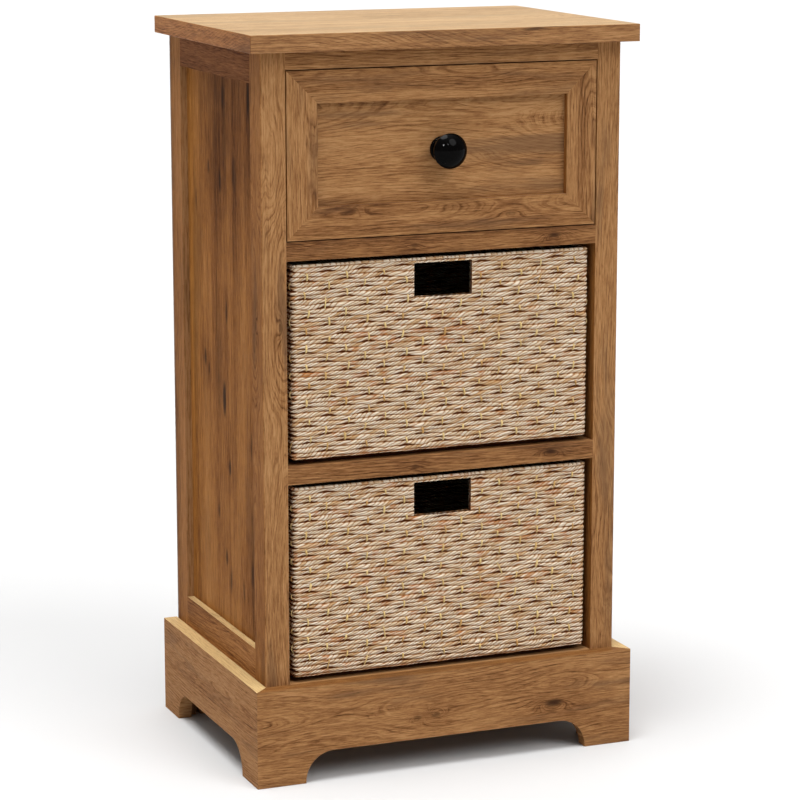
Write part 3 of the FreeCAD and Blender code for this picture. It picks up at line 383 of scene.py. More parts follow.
# Materials
def oak_finish(board, along, figure, fleck_share, shade, seed):
    """Oak with growth rings, cathedrals, knots, cracks and smoky patches. The print follows the
    grain on the long faces and turns along the edge on the two ends."""
    oak = bpy.context.scene.cabinet_oak
    s = material("oak_" + board)
    places = dict(zip("xyz", s.coordinates()))
    normals = dict(zip("xyz", s.coordinates("Normal")))
    other, third = [axis for axis in "yxz" if axis != along]
    on_end = abs(normals[along]) > 0.7
    run = places[along] + on_end * (places[other] - places[along])
    across = (1 - on_end) * places[other] + places[third] + on_end * places[along]
    cut = seed * BOARD_STEP

    def noise(layer):
        length_rate, width_rate, detail, roughness, place = OAK_NOISE[layer]
        spot = s.vector(run * length_rate, across * width_rate, cut + place)
        return s.noise(spot, detail, roughness)

    # Growth rings round a heart that wanders along the board and in depth
    low, high = (dict(zip("xyz", corner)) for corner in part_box(board))
    middle = (low[other] + high[other] + low[third] + high[third]) / 2
    width = high[other] - low[other] + high[third] - low[third]
    heart = (noise("heart") - 0.5) * (0.9 * width * figure) + middle
    depth = (noise("depth") - 0.44) * (0.16 * figure)
    aside = across - heart - (1 - figure) * 0.6 * width
    drift = noise("drift")
    tremble = noise("tremble")
    rings = ((aside ** 2 + depth ** 2 + 0.00002) ** 0.5 * (1 / oak.ring_width)
             + drift * (2.2 * figure + 0.8) + tremble * 0.3)
    # Knots and cracks, which bend the rings
    dark_spots, haze = 0.0, 0.0
    for spot, half_length, half_width, darkness, bend in MARKS.get(board, []):
        spot = dict(zip("xyz", (value * MM for value in spot)))
        along_it = (run - spot[along]) * (1 / (half_length * MM))
        across_it = (across - spot[other] - spot[third]) * (1 / (half_width * MM))
        far = along_it ** 2 + across_it ** 2
        near = (far * -0.5).math("EXPONENT")
        rings = rings + near * float(bend)
        dark_spots = dark_spots + (1 - s.rise(far + drift * 0.8, 0.3, 1.1)) * darkness
        haze = haze + (far * -0.1).math("EXPONENT") * darkness
    # How dark the wood is: rings that come and go, then grain, streaks and clouds
    uneven = s.rise(noise("uneven"), 0.3, 0.66)
    faint = s.rise(noise("faint"), 0.32, 0.68)
    pace = 12.0 + 10.0 * figure
    flow = s.noise(s.vector(run * pace, rings * 2.1, cut + 8.3), 4.0, 0.72)
    fibre = s.noise(s.vector(run * (pace * 2.7), across * 820.0, cut + 9.1), 3.0, 0.75)
    specks = s.rise(noise("specks"), 0.56, 0.74)
    streak = noise("streak")
    cloud = noise("cloud")
    # Painted shade: the side panels are darker towards the top
    if board.startswith("side_panel"):
        cloud = cloud + s.rise(places["z"], 0.4, 0.7) * 0.5
    coarse = s.rise(s.wave(rings), 0.55, 0.95) * uneven
    fine = s.rise(s.wave(rings * 2.3 + drift * 2.1), 0.6, 1.0) * faint
    darkness = (coarse * 0.3 + fine * 0.22 + (flow - 0.5) * 0.75 + specks * 0.22
                + (fibre - 0.5) * (2.1 - 0.5 * figure)
                + (cloud - 0.5) * 0.4 + (streak - 0.5) * (1.9 - 1.7 * figure)
                + haze * 0.3 + (PLAIN_DARKNESS + shade))
    wood = s.ramp(darkness, [(0.0, oak.light), (0.34, oak.middle), (0.7, oak.brown),
                             (1.0, oak.dark)])
    # Smoky patches, flecks and knots over it
    smoke = s.rise(noise("smoke") + flow * 0.12, 0.56, 0.76)
    wood = s.blend(smoke * (0.3 + 0.4 * figure), wood, oak.smoke)
    flecks = s.vector(run * 11.0, across * 48.0 + drift, cut + 15.2)
    pick = s.node("ShaderNodeSeparateColor", None, {0: s.cells(flecks, "Color")})
    chosen = pick > (1 - fleck_share)
    fleck = chosen * (1 - s.rise(s.cells(flecks, "Distance") + fibre * 0.1, 0.08, 0.26))
    wood = s.blend(fleck * 0.75, wood, oak.knot)
    if board in MARKS:
        wood = s.blend(dark_spots.math("MINIMUM", 0.9), wood, oak.knot)
    # Painted light and shade: lighter upper faces, a darker ledge over the plinth's front, and
    # darker, warmer faces towards the sides
    # Painted light: upper faces lightened towards a pale colour
    top_light_share = by_name(PAINTED_TOP_LIGHT_SHARES, board)
    if top_light_share:
        upper = s.rise(normals["z"], 0.7, 0.9) * top_light_share
        wood = s.blend(upper * (1.35 - darkness * 0.8), wood, oak.painted_top_light)
    # Painted shade on the ledge over the plinth's front
    if board == "plinth_front":
        wood = s.blend(s.rise(normals["z"], 0.7, 0.9), wood, PAINTED_LEDGE_SHADE, "MULTIPLY")
    # Painted shade: faces towards the sides are darkened and warmed
    painted_side_share = s.rise(abs(normals["x"]), 0.6, 0.8)
    wood = s.blend(painted_side_share, wood, by_name(PAINTED_SIDE_SHADE, board), "MULTIPLY")
    pores = s.rise(noise("pores"), 0.58, 0.72)
    height = 1 - darkness * 0.5 - pores * 0.5
    return s.finish(Base_Color=wood, Roughness=oak.roughness + darkness * 0.16,
                    Normal=s.bump(height, 0.0002, 0.5),
                    Specular_IOR_Level=by_name(SHEENS, board))


def hardboard_finish(name):
    """Brown pressed fibre, a little cloudy."""
    s = material(name)
    fibres = s.noise_over(420.0, 420.0, 90.0, 4.0, 0.7)
    cloud = s.noise_over(9.0, 9.0, 6.0)
    brown = s.ramp(fibres * 0.7 + cloud * 0.3,
                   [(0.3, tone(92, 62, 38)), (0.55, tone(124, 88, 56)), (0.8, tone(150, 112, 76))])
    return s.finish(Base_Color=brown, Roughness=0.72 + fibres * 0.15,
                    Normal=s.bump(fibres, 0.0002, 0.6))


def beech_finish(name):
    """Plain beech along X with short dark flecks."""
    s = material(name)
    grain = s.noise_over(40.0, 700.0, 700.0, 3.0)
    flecks = s.noise_over(300.0, 1800.0, 1800.0, 1.0)
    wood = s.ramp(grain, [(0.3, tone(198, 160, 116)), (0.7, tone(224, 190, 148))])
    wood = s.blend(s.rise(flecks, 0.62, 0.7) * 0.4, wood, tone(150, 108, 70))
    return s.finish(Base_Color=wood, Roughness=0.6 + grain * 0.1, Normal=s.bump(grain, 0.0001))


def gloss_finish(name):
    """Black lacquer, nearly even, with faint ripples and rubbed spots."""
    s = material(name)
    ripple = s.noise_over(160.0, 160.0, 160.0)
    rubbed = s.rise(s.noise_over(420.0, 420.0, 420.0, 3.0), 0.55, 0.75)
    black = s.blend(rubbed * 0.35, (0.0014, 0.0012, 0.0012), (0.006, 0.005, 0.004))
    return s.finish(Base_Color=black, Roughness=0.06 + rubbed * 0.08,
                    Normal=s.bump(ripple, 0.0004, 0.25), Specular_IOR_Level=0.04)


def steel_finish(name, pale, dull, shine):
    """Plated or enamelled steel with rolling marks and duller patches."""
    s = material(name)
    marks = s.noise_over(900.0, 40.0, 900.0, 3.0)
    cloud = s.noise_over(60.0, 60.0, 60.0, 3.0)
    metal = s.blend(s.rise(cloud * 0.6 + marks * 0.4, 0.35, 0.65), pale, dull)
    return s.finish(Base_Color=metal, Metallic=shine, Roughness=0.28 + cloud * 0.25,
                    Normal=s.bump(marks, 0.00005, 0.5))


def nylon_finish(name):
    """Moulded nylon, a little cloudy."""
    s = material(name)
    cloud = s.noise_over(300.0, 120.0, 120.0, 3.0)
    plastic = s.blend(s.rise(cloud, 0.4, 0.7), tone(236, 233, 222), tone(208, 203, 190))
    return s.finish(Base_Color=plastic, Roughness=0.38 + cloud * 0.2, Subsurface_Weight=0.1,
                    Normal=s.bump(cloud, 0.00005, 0.4))


def rope_finish(name):
    """Twisted seagrass, from the weave's values at each point."""
    basket = bpy.context.scene.cabinet_basket
    s = material(name)
    phase, lay, rust, gap = (s.attribute(layer) for layer in WEAVE_LAYERS)
    row = phase.math("FLOOR")
    beside = (phase - row) * 2.0 - 1.0
    turn = lay - beside * STRAND_LEAN + row * ROW_STEP
    strand = abs((turn * math.pi).math("SINE"))
    blade = turn.math("FLOOR") + row * 17.3
    pick = s.node("ShaderNodeTexWhiteNoise", {"noise_dimensions": "1D"}, {"W": blade})
    fibre = s.noise(s.vector(turn * 4.0, lay * 0.5, row * 2.3), 2.0, 0.6)
    pale = s.ramp(pick * 0.8 + fibre * 0.2,
                  [(0.0, tone(218, 205, 186)), (0.55, basket.rope), (0.78, tone(201, 177, 147)),
                   (0.92, tone(182, 144, 100)), (1.0, basket.rust)])
    pale = s.blend(s.rise(fibre, 0.5, 0.75) * 0.4, pale, tone(164, 126, 86))
    pale = s.blend(rust * 0.4, pale, basket.rust)
    # Painted shade over the rope's own darker fibres: darker between strands, between rows and in
    # openings
    edge = beside * beside
    closed = strand * (1 - edge * 0.5) + (fibre - 0.5) * 0.3 - gap * 0.25
    warm = s.blend(rust, basket.tan, basket.rust)
    rope = s.blend((1 - s.rise(closed, 0.05, 0.6)) * 0.8, pale, warm)
    deep = edge * 0.9 + (1 - strand) * 0.25 + gap * 0.85 + fibre * 0.25
    rope = s.blend(s.rise(deep + rust * 0.4, 0.55, 0.95) * 0.75, rope, warm)
    rope = s.blend(s.rise(deep, 0.82, 1.3), rope, basket.shade)
    height = strand * (1 - edge) + fibre * 0.3
    return s.finish(Base_Color=rope, Roughness=0.65 + fibre * 0.25,
                    Normal=s.bump(height, 0.0012, 0.9), Specular_IOR_Level=0.06)


def straw_finish(name):
    """Split straw, a little shiny, streaked along its length."""
    basket = bpy.context.scene.cabinet_basket
    s = material(name)
    streak = s.noise_over(2600.0, 2600.0, 160.0)
    shade = s.attribute("straw_tone")
    straw = s.blend(shade, basket.straw, tone(214, 187, 128))
    straw = s.blend(s.rise(0.4 - shade, 0.0, 0.4) * 0.6, straw, tone(176, 124, 66))
    straw = s.blend(s.rise(streak, 0.5, 0.7) * 0.4, straw, tone(170, 128, 76))
    return s.finish(Base_Color=straw, Roughness=0.45 + streak * 0.2,
                    Normal=s.bump(streak, 0.0002, 0.5), Specular_IOR_Level=0.3)


def wire_finish(name):
    """Dark dipped wire."""
    s = material(name)
    drips = s.noise_over(260.0, 260.0, 120.0, 3.0)
    dip = s.blend(drips, tone(30, 24, 20), tone(66, 50, 38))
    return s.finish(Base_Color=dip, Roughness=0.4 + drips * 0.25, Normal=s.bump(drips, 0.0002))


def floor_finish(name):
    """A pale, matte and nearly even floor."""
    stage = bpy.context.scene.cabinet_stage
    s = material(name)
    cloud = s.noise_over(1.5, 1.5, 0.0)
    paper = s.blend(cloud * 0.04, stage.paper, stage.paper * 0.9)
    return s.finish(Base_Color=paper, Roughness=0.9 - cloud * 0.05)


def coat(names, finish):
    """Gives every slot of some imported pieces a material."""
    for name in names:
        for slot in NODES[name].material_slots:
            slot.material = finish


def coat_oak(boards, first_seed):
    """Gives each board its own cut of the oak print."""
    for seed, (name, cut) in enumerate(boards.items(), first_seed):
        coat([name], oak_finish(name, *cut, seed))


# Basket meshes
def smooth_noise(across, up, seed, period):
    """Noise from -1 to 1 over two arrays, the same each run, repeating after a whole number
    of steps across."""
    table = np.random.default_rng(seed).uniform(-1, 1, (period, 256))
    column, row = np.floor(across).astype(int), np.floor(up).astype(int)
    a, b = across - column, up - row
    a, b = a * a * (3 - 2 * a), b * b * (3 - 2 * b)

    def corner(i, j):
        return table[(column + i) % period, (row + j) % 256]

    low = corner(0, 0) * (1 - a) + corner(1, 0) * a
    high = corner(0, 1) * (1 - a) + corner(1, 1) * a
    return low * (1 - b) + high * b


def bell(value, width):
    """1 at zero, falling smoothly away on both sides."""
    return np.exp(-(value / width) ** 2)


def grid_faces(columns, rows, wrap=False):
    """Quads over a grid whose points run up each column in turn."""
    column = np.arange(columns if wrap else columns - 1)[:, None]
    row = np.arange(rows - 1)[None, :]
    after = (column + 1) % columns
    quads = np.stack([column * rows + row, after * rows + row,
                      after * rows + row + 1, column * rows + row + 1], axis=-1)
    return quads.reshape(-1, 4)


class Basket:
    """One basket's sizes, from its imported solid, and its weave. Rows of rope are counted up the
    wall from its underside, which hangs a little above the shelf round a smaller base, and
    places along them round the wall from the middle of the back, against the clock from above."""

    # The wall's corner radius and thickness and the bend at its foot, how high it hangs over the
    # shelf, the base's inset and underside, and the hand hole's size and place under the rim
    CORNER = 6.0 * MM
    WALL = 6.0 * MM
    CURL = 2.5 * MM
    BASE = 4.5 * MM
    BASE_INSET = 12.0 * MM
    UNDERSIDE = 0.4 * MM
    HOLE_WIDTH = 60.5 * MM
    HOLE_HEIGHT = 33.5 * MM
    HOLE_DROP = 5.5 * MM
    # The most stitches in a column, and how far each strays sideways, in columns
    MOST_STITCHES = 64
    STRAY = 0.12

    def __init__(self, name, settings):
        low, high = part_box(name + "_weave")
        self.name = name
        self.settings = settings
        self.seed, self.rusty = BASKETS[name]
        self.half = (high.x - low.x) / 2
        self.deep = (high.y - low.y) / 2
        self.middle = (low.y + high.y) / 2
        self.floor = low.z
        self.height = high.z - low.z
        self.hole_high = self.height - self.HOLE_DROP
        self.hole_low = self.hole_high - self.HOLE_HEIGHT
        self.under = self.BASE_INSET - self.CURL
        self.bent = self.under + self.CURL * math.pi / 2
        walk = self.bent + self.height - self.WALL / 2 - self.BASE - self.CURL
        self.rows = round(walk / settings.rope_width)
        self.pitch = walk / self.rows
        self.set_path()
        self.columns = 2 * round(self.around / settings.stitch_gap / 2)
        self.strands = round(self.around / settings.strand_length)
        random = np.random.default_rng(self.seed)
        self.shove = random.uniform(-self.STRAY, self.STRAY, (self.columns, self.MOST_STITCHES))

    def set_path(self):
        """Points, outward directions and run lengths once round the wall. The front is sampled
        more finely."""
        r, fine, coarse = self.CORNER, 1.3 * MM, 3.0 * MM
        x, y, hole = self.half - r, self.deep - r, self.HOLE_WIDTH / 2
        stops = [((0, self.deep), (0, 1), coarse), ((-x, self.deep), (0, 1), coarse),
                 ((-self.half, y), (-1, 0), coarse), ((-self.half, -y), (-1, 0), fine),
                 ((-x, -self.deep), (0, -1), fine), ((-hole, -self.deep), (0, -1), fine),
                 ((hole, -self.deep), (0, -1), fine), ((x, -self.deep), (0, -1), fine),
                 ((self.half, -y), (1, 0), coarse), ((self.half, y), (1, 0), coarse),
                 ((x, self.deep), (0, 1), coarse), ((0, self.deep), (0, 1), coarse)]
        points, normals, starts = [], [], []
        for (start, normal, step), (end, next_normal, _) in zip(stops, stops[1:]):
            start, end, normal = np.array(start), np.array(end), np.array(normal, float)
            bend = not np.allclose(normal, next_normal)
            gap = r * math.pi / 2 if bend else np.linalg.norm(end - start)
            count = max(7 if bend else 2, round(gap / step))
            starts.append(len(points))
            for share in np.arange(count) / count:
                turn = share * math.pi / 2
                turned = math.cos(turn) * normal + math.sin(turn) * np.array(next_normal)
                points.append(start - normal * r + turned * r if bend
                              else start + (end - start) * share)
                normals.append(turned if bend else normal)
        self.points, self.normals = np.array(points), np.array(normals)
        steps = np.linalg.norm(np.roll(self.points, -1, axis=0) - self.points, axis=1)
        runs = np.concatenate([[0], np.cumsum(steps)])
        self.runs, self.around = runs[:-1], runs[-1]
        self.front_columns = (starts[3], starts[8])

    def add(self, label, points, faces, finish, values, layers=WEAVE_LAYERS):
        """A smooth piece that rides on the basket, from points about the middle of its underside
        and the values that they carry."""
        mesh = bpy.data.meshes.new(self.name + label)
        points = points + np.array([0, self.middle, self.floor])
        mesh.from_pydata(points.tolist(), [], faces.tolist())
        for layer, numbers in zip(layers, values):
            attribute = mesh.attributes.new(layer, "FLOAT", "POINT")
            attribute.data.foreach_set("value", numbers.astype(np.float32).ravel())
        mesh.shade_smooth()
        mesh.materials.append(finish)
        mesh.update()
        piece = bpy.data.objects.new(self.name + label, mesh)
        bpy.context.scene.collection.objects.link(piece)
        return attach(piece, self.name)

    def noise(self, share, steps, up, layer):
        """Noise with a whole number of steps round the wall and a seed of its own."""
        return smooth_noise(share * steps, up, self.seed + layer, steps)

    def wander(self, share, tall):
        """How far the rows stray up or down, in rows."""
        return (0.24 * self.noise(share, 34, tall / 2, 0)
                + 0.06 * self.noise(share, 90, tall / 1.5, 6))

    def stitch_at(self, column, stitch):
        """The row between the two ropes that a stitch ties."""
        return 1 + self.settings.rows_a_stitch * (stitch + 0.5 * (column % 2))

    def weave(self, share, tall):
        """The weave at a share of the way round and a height in rows: its row, its place along
        the rope, and how drawn in, open, thick and rusty it is."""
        column = np.round(share * self.columns).astype(int) % self.columns
        rise = self.settings.rows_a_stitch
        stitch = np.round((tall - 1) / rise - 0.5 * (column % 2)).astype(int)
        shove = self.shove[column, np.clip(stitch, 0, self.MOST_STITCHES - 1)]
        beside = (share * self.columns + 0.5) % 1 - 0.5 - shove
        above = tall - self.stitch_at(column, stitch)
        pinch = bell(beside, 0.24) * bell(above, 1.3)
        lay = share * self.strands + 0.9 * self.noise(share, 60, tall * 0.4, 2)
        row = tall + self.wander(share, tall) + 0.38 * above * pinch
        drawn = row - tall + above
        opening = bell(beside, 0.36) * (1.15 * bell(drawn + 1, 0.34) + 0.6 * bell(drawn, 0.28))
        level = np.floor(row)
        thick = self.noise(share, 90, level * 7.3 + 0.5, 1)
        rust = self.noise(share, 110, level * 5.1, 3) * 1.75 + self.rusty
        patches = self.noise(share, 14, tall / 9, 5) * 0.4
        return row, lay, pinch, opening, thick, np.clip(rust + patches, 0, 0.75)

    def strand(self, row, lay):
        """1 on the crest of a strand and 0 between two, and how near a row's edge, from 0."""
        beside = 2 * (row - np.floor(row)) - 1
        turn = lay - STRAND_LEAN * beside + ROW_STEP * np.floor(row)
        return np.abs(np.sin(math.pi * turn)), 1 - np.sqrt(np.clip(1 - beside ** 2, 0, 1))

    def section(self, segments):
        """Outwards under the wall, up its outside, over the rim and down the inside: each
        level's row, inset, height, outward and upward direction and depth of relief."""
        walk = np.arange(self.rows * segments + 1) / segments * self.pitch
        bend = np.clip((walk - self.under) / self.CURL, 0, math.pi / 2)
        inset = self.CURL * (1 - np.sin(bend)) + np.clip(self.under - walk, 0, None)
        height = (self.BASE + self.CURL * (1 - np.cos(bend))
                  + np.clip(walk - self.bent, 0, None))
        outer = np.stack([walk / self.pitch, inset, height, np.sin(bend), -np.cos(bend),
                          0 * walk + 1])
        turn = np.linspace(0, math.pi, 9)[1:-1]
        r, top = self.WALL / 2, self.height - self.WALL / 2
        rim = np.stack([0 * turn + self.rows + 0.5, r - r * np.cos(turn), top + r * np.sin(turn),
                        np.cos(turn), np.sin(turn), 0 * turn + 0.4])
        down = np.arange(top, self.WALL, -self.pitch / 2)
        inner = np.stack([(down + self.bent - self.BASE - self.CURL) / self.pitch,
                          0 * down + self.WALL, down, 0 * down - 1, 0 * down, 0 * down + 0.5])
        return np.concatenate([outer, rim, inner], axis=1)


def rope_wall(basket, label, first, last, segments, strands, finish):
    """The wall from one point of its path to another, as a sheet of twisted ropes with some
    segments to a row, drawn in at each stitch. The hand hole is left open, and strands is 1
    where each strand is modelled too."""
    turns, picked = np.divmod(np.arange(first, last + 1), len(basket.runs))
    tall, inset, height, out, up, scale = basket.section(segments)
    runs = basket.runs[picked] + turns * basket.around
    share, tall = np.meshgrid(runs / basket.around, tall, indexing="ij")
    row, lay, pinch, opening, thick, rust = basket.weave(share, tall)
    on_rim = tall > basket.rows + 0.2
    row = np.where(on_rim, basket.rows + 0.5, row)
    strand, crown = basket.strand(row, lay)
    # Painted shade: the side walls near the corners count as more open, so they are painted darker
    corner = np.abs(basket.normals[picked, 0:1]) * (np.abs(basket.points[picked, 1:2])
                                                    > basket.deep - 14 * MM)
    foot = np.clip((basket.bent / basket.pitch - tall) / 0.6, 0, 1) * (out >= 0)
    opening = np.where(on_rim, 0, opening) + 0.4 * corner
    # In millimetres: between rows, where rope is thin, in openings, and between strands
    depth = scale * MM * (1.9 * crown + 0.35 * (1 - thick) + 0.55 * opening * (1 - 0.4 * pinch)
                          + strands * 0.35 * (1 - strand) * (1 - 0.5 * crown))
    xy = basket.points[picked][:, None] - basket.normals[picked][:, None] * (
        depth * out + inset)[..., None]
    grid = np.dstack([xy, height - depth * up])
    faces = grid_faces(*share.shape)
    middle = grid.reshape(-1, 3)[faces].mean(axis=1)
    in_hole = ((np.abs(middle[:, 0]) < basket.HOLE_WIDTH / 2) & (middle[:, 1] < 0)
               & (middle[:, 2] > basket.hole_low) & (middle[:, 2] < basket.hole_high))
    # Painted shade: the foot under the wall is painted darker and browner
    values = row, lay, np.maximum(rust, 0.6 * foot), opening + foot * 0.3
    return basket.add(label, grid.reshape(-1, 3), faces[~in_hole], finish, values)


def rope_floor(basket, finish):
    """The bottom: ropes along X inside the walls, and a smaller base under them."""
    points, faces, layers, count = [], [], [], 0

    def add_grid(grid, values, wrap=False):
        nonlocal count
        points.append(grid.reshape(-1, 3))
        faces.append(grid_faces(*grid.shape[:2], wrap) + count)
        layers.append([numbers.ravel() for numbers in values])
        count += grid.shape[0] * grid.shape[1]

    for inset, height, side in ((basket.WALL - MM, basket.WALL, 1),
                                (basket.BASE_INSET, basket.UNDERSIDE, -1)):
        half, deep = basket.half - inset, basket.deep - inset
        rows = round(2 * deep / basket.settings.rope_width)
        run, y = np.meshgrid(np.linspace(-half, half, 121) * side,
                             np.linspace(-deep, deep, rows * 4 + 1), indexing="ij")
        row = np.clip((y / deep + 1) / 2 * rows, 0, rows - 0.01)
        lay = run / basket.settings.strand_length
        strand, crown = basket.strand(row, lay)
        z = height - side * (1.4 * crown + 0.3 * (1 - strand)) * MM
        rust = smooth_noise(run / (9 * MM) + 50, np.floor(row) * 5.1, 90, 100) * 1.5 - 0.6
        add_grid(np.dstack([run, y, z]), [row, lay, np.clip(rust, 0, 0.8), 0 * row])
    corners = np.array([(-half, -deep), (half, -deep), (half, deep), (-half, deep)])
    band = np.concatenate([np.linspace(a, b, 40, endpoint=False)
                           for a, b in zip(corners, np.roll(corners, -1, axis=0))])
    z, at = np.meshgrid(np.linspace(basket.UNDERSIDE, basket.BASE, 4), np.arange(len(band)))
    # Painted shade: the band round the base, in the recess under the wall, is painted in the dark
    # groove colour
    add_grid(np.dstack([band[at, 0], band[at, 1], z]),
             [z / (5 * MM), at * 1.7, 0.6 + 0 * z, 1.6 + 0 * z], True)
    basket.add("_bottom", np.concatenate(points), np.concatenate(faces), finish,
               map(np.concatenate, zip(*layers)))


def stitches(basket, finish):
    """Short straws that tie two ropes together, in columns that alternate round the wall. They
    keep off its foot, rim, corners and hand hole."""
    random = np.random.default_rng(basket.seed + 9)
    steps, sides, clear = np.linspace(-1, 1, 7), 6, 1.5 * MM
    angles = np.arange(sides) / sides * 2 * math.pi
    closing = np.arange(len(steps) - 1)[:, None] * sides + [sides - 1, 2 * sides - 1, sides, 0]
    straw_faces = np.concatenate([grid_faces(len(steps), sides), closing])
    points, faces, tones = [], [], []
    for column in range(basket.columns):
        for stitch in range(basket.MOST_STITCHES):
            tall = basket.stitch_at(column, stitch)
            share = ((column + basket.shove[column, stitch]) / basket.columns) % 1
            walk = (tall - float(basket.wander(share, tall))) * basket.pitch
            z = walk - basket.bent + basket.BASE + basket.CURL
            at = np.searchsorted(basket.runs, share * basket.around) % len(basket.runs)
            spot, normal = basket.points[at], basket.normals[at]
            if not 8 * MM < z < basket.height - 6 * MM or abs(normal).max() < 0.999:
                continue
            tangent = np.array([-normal[1], normal[0]])
            if (normal[1] < -0.9 and abs(spot[0]) < basket.HOLE_WIDTH / 2 + clear
                    and basket.hole_low - 2 * clear < z):
                continue
            lean = random.uniform(-0.9, 0.9) * MM
            reach = random.uniform(3.3, 4.7) * MM
            wide = random.uniform(0.75, 1.2) * MM
            if random.uniform() > 0.975:  # one straw in forty is long and leans
                lean, reach, wide = lean * 4, reach * 1.7, 0.7 * MM
            shade = random.uniform(0, 1)
            for step in steps:
                bow = (0.45 - 2.4 * abs(step) ** 3) * MM
                centre = spot + normal * (bow - 0.5 * MM) + tangent * lean * step
                half_wide = wide * (1 - 0.25 * step * step)
                for angle in angles:
                    side = tangent * math.cos(angle) * half_wide
                    front = normal * math.sin(angle) * 0.45 * MM
                    points.append([*(centre + side + front), z + reach * step])
                    tones.append(shade)
            faces.append(straw_faces + (len(points) - len(steps) * sides))
    basket.add("_stitches", np.array(points), np.concatenate(faces), finish,
               [np.array(tones)], ["straw_tone"])


def hole_lining(basket, finish):
    """The inner edge of the hand hole: a thin rectangular sleeve through the wall."""
    half, thick, r = basket.HOLE_WIDTH / 2, 1.2 * MM, 0.8 * MM
    front, back = -basket.deep + 2.2 * MM, -basket.deep + basket.WALL - 1.2 * MM
    corners = ((half - r, basket.hole_high - r, 0), (-half + r, basket.hole_high - r, 90),
               (-half + r, basket.hole_low + r, 180), (half - r, basket.hole_low + r, 270))
    outline = np.array([(x, z, math.cos(angle), math.sin(angle)) for x, z, start in corners
                        for angle in np.radians(np.arange(start, start + 91, 30))])
    profile = ((0, front), (thick, front), (thick, back), (0, back), (0, front))
    rings = [np.column_stack([outline[:, 0] + outline[:, 2] * (r + out),
                              np.full(len(outline), y),
                              outline[:, 1] + outline[:, 3] * (r + out)]) for out, y in profile]
    points = np.stack(rings, axis=1).reshape(-1, 3)
    even = np.ones(len(points))
    # Painted shade: the sleeve is painted in the dark groove colour
    values = even * 0.5, points[:, 0] * 260, even * 0.4, even * 1.6
    faces = grid_faces(len(outline), len(profile), True)
    basket.add("_hole_edge", points, faces, finish, values)


# Operators
class CABINET_OT_case(bpy.types.Operator):
    """Finish the case, the shelves and the plinth in oak, and the back in hardboard"""

    bl_idname = "cabinet.case"
    bl_label = "Case"

    def execute(self, context):
        coat_oak(CASE_BOARDS, 1)
        coat(["back_panel"], hardboard_finish("hardboard"))
        return {"FINISHED"}


class CABINET_OT_drawer(bpy.types.Operator):
    """Finish the drawer's front, box and battens"""

    bl_idname = "cabinet.drawer"
    bl_label = "Drawer"

    def execute(self, context):
        coat_oak(DRAWER_BOARDS, 31)
        return {"FINISHED"}


class CABINET_OT_knob(bpy.types.Operator):
    """Finish the knob and its base in black gloss"""

    bl_idname = "cabinet.knob"
    bl_label = "Knob"

    def execute(self, context):
        coat(["knob", "knob_base"], gloss_finish("black_gloss"))
        return {"FINISHED"}


class CABINET_OT_runners(bpy.types.Operator):
    """Finish the runners, the rollers and their axles"""

    bl_idname = "cabinet.runners"
    bl_label = "Runners"

    def execute(self, context):
        enamel = steel_finish("white_enamel", tone(236, 234, 226), tone(214, 211, 200), 0.0)
        zinc = steel_finish("zinc_axle", (0.62, 0.62, 0.63), (0.42, 0.42, 0.43), 1.0)
        nylon = nylon_finish("roller_nylon")
        for side in ("left", "right"):
            coat(["runner_channel_" + side, "runner_rider_" + side], enamel)
            coat(["front_axle_" + side, "rear_axle_" + side], zinc)
            coat(["front_roller_" + side, "rear_roller_" + side], nylon)
        return {"FINISHED"}


class CABINET_OT_fasteners(bpy.types.Operator):
    """Finish the screws, the nails and the dowels"""

    bl_idname = "cabinet.fasteners"
    bl_label = "Fasteners"

    def execute(self, context):
        zinc = steel_finish("zinc_screw", (0.6, 0.6, 0.62), (0.36, 0.36, 0.37), 1.0)
        coat(["top_screws", "back_nails", "drawer_front_screws", "channel_screws",
              "rider_screws", "knob_screw"], zinc)
        coat(["case_dowels"], beech_finish("beech"))
        return {"FINISHED"}


class CABINET_OT_baskets(bpy.types.Operator):
    """Weave both baskets round their wire frames"""

    bl_idname = "cabinet.baskets"
    bl_label = "Baskets"

    def execute(self, context):
        rope = rope_finish("seagrass_rope")
        straw = straw_finish("straw")
        for name in BASKETS:
            basket = Basket(name, context.scene.cabinet_basket)
            first, last = basket.front_columns
            wall = rope_wall(basket, "_front_ropes", first, last, 6, 1, rope)
            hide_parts(name + "_weave")
            rope_wall(basket, "_side_ropes", last, first + len(basket.runs), 4, 0, rope)
            rope_floor(basket, rope)
            stitches(basket, straw)
            hole_lining(basket, rope)
        coat([name + "_frame" for name in BASKETS], wire_finish("dipped_wire"))
        return {"FINISHED"}


class CABINET_OT_stage(bpy.types.Operator):
    """Set the pale floor, the soft lights and the camera"""

    bl_idname = "cabinet.stage"
    bl_label = "Stage"

    def execute(self, context):
        context.scene.view_settings.view_transform = "Standard"
        add_floor()
        add_sky()
        add_lights()
        add_camera()
        return {"FINISHED"}


# Stage
def add_floor():
    """A wide pale sheet just under the feet."""
    across = np.linspace(-60.0, 60.0, 9)
    x, y = np.meshgrid(across, across, indexing="ij")
    points = np.dstack([x, y, 0 * x - 0.2 * MM]).reshape(-1, 3)
    mesh = bpy.data.meshes.new("floor")
    mesh.from_pydata(points.tolist(), [], grid_faces(9, 9).tolist())
    mesh.materials.append(floor_finish("pale_floor"))
    floor = bpy.data.objects.new("floor", mesh)
    bpy.context.scene.collection.objects.link(floor)


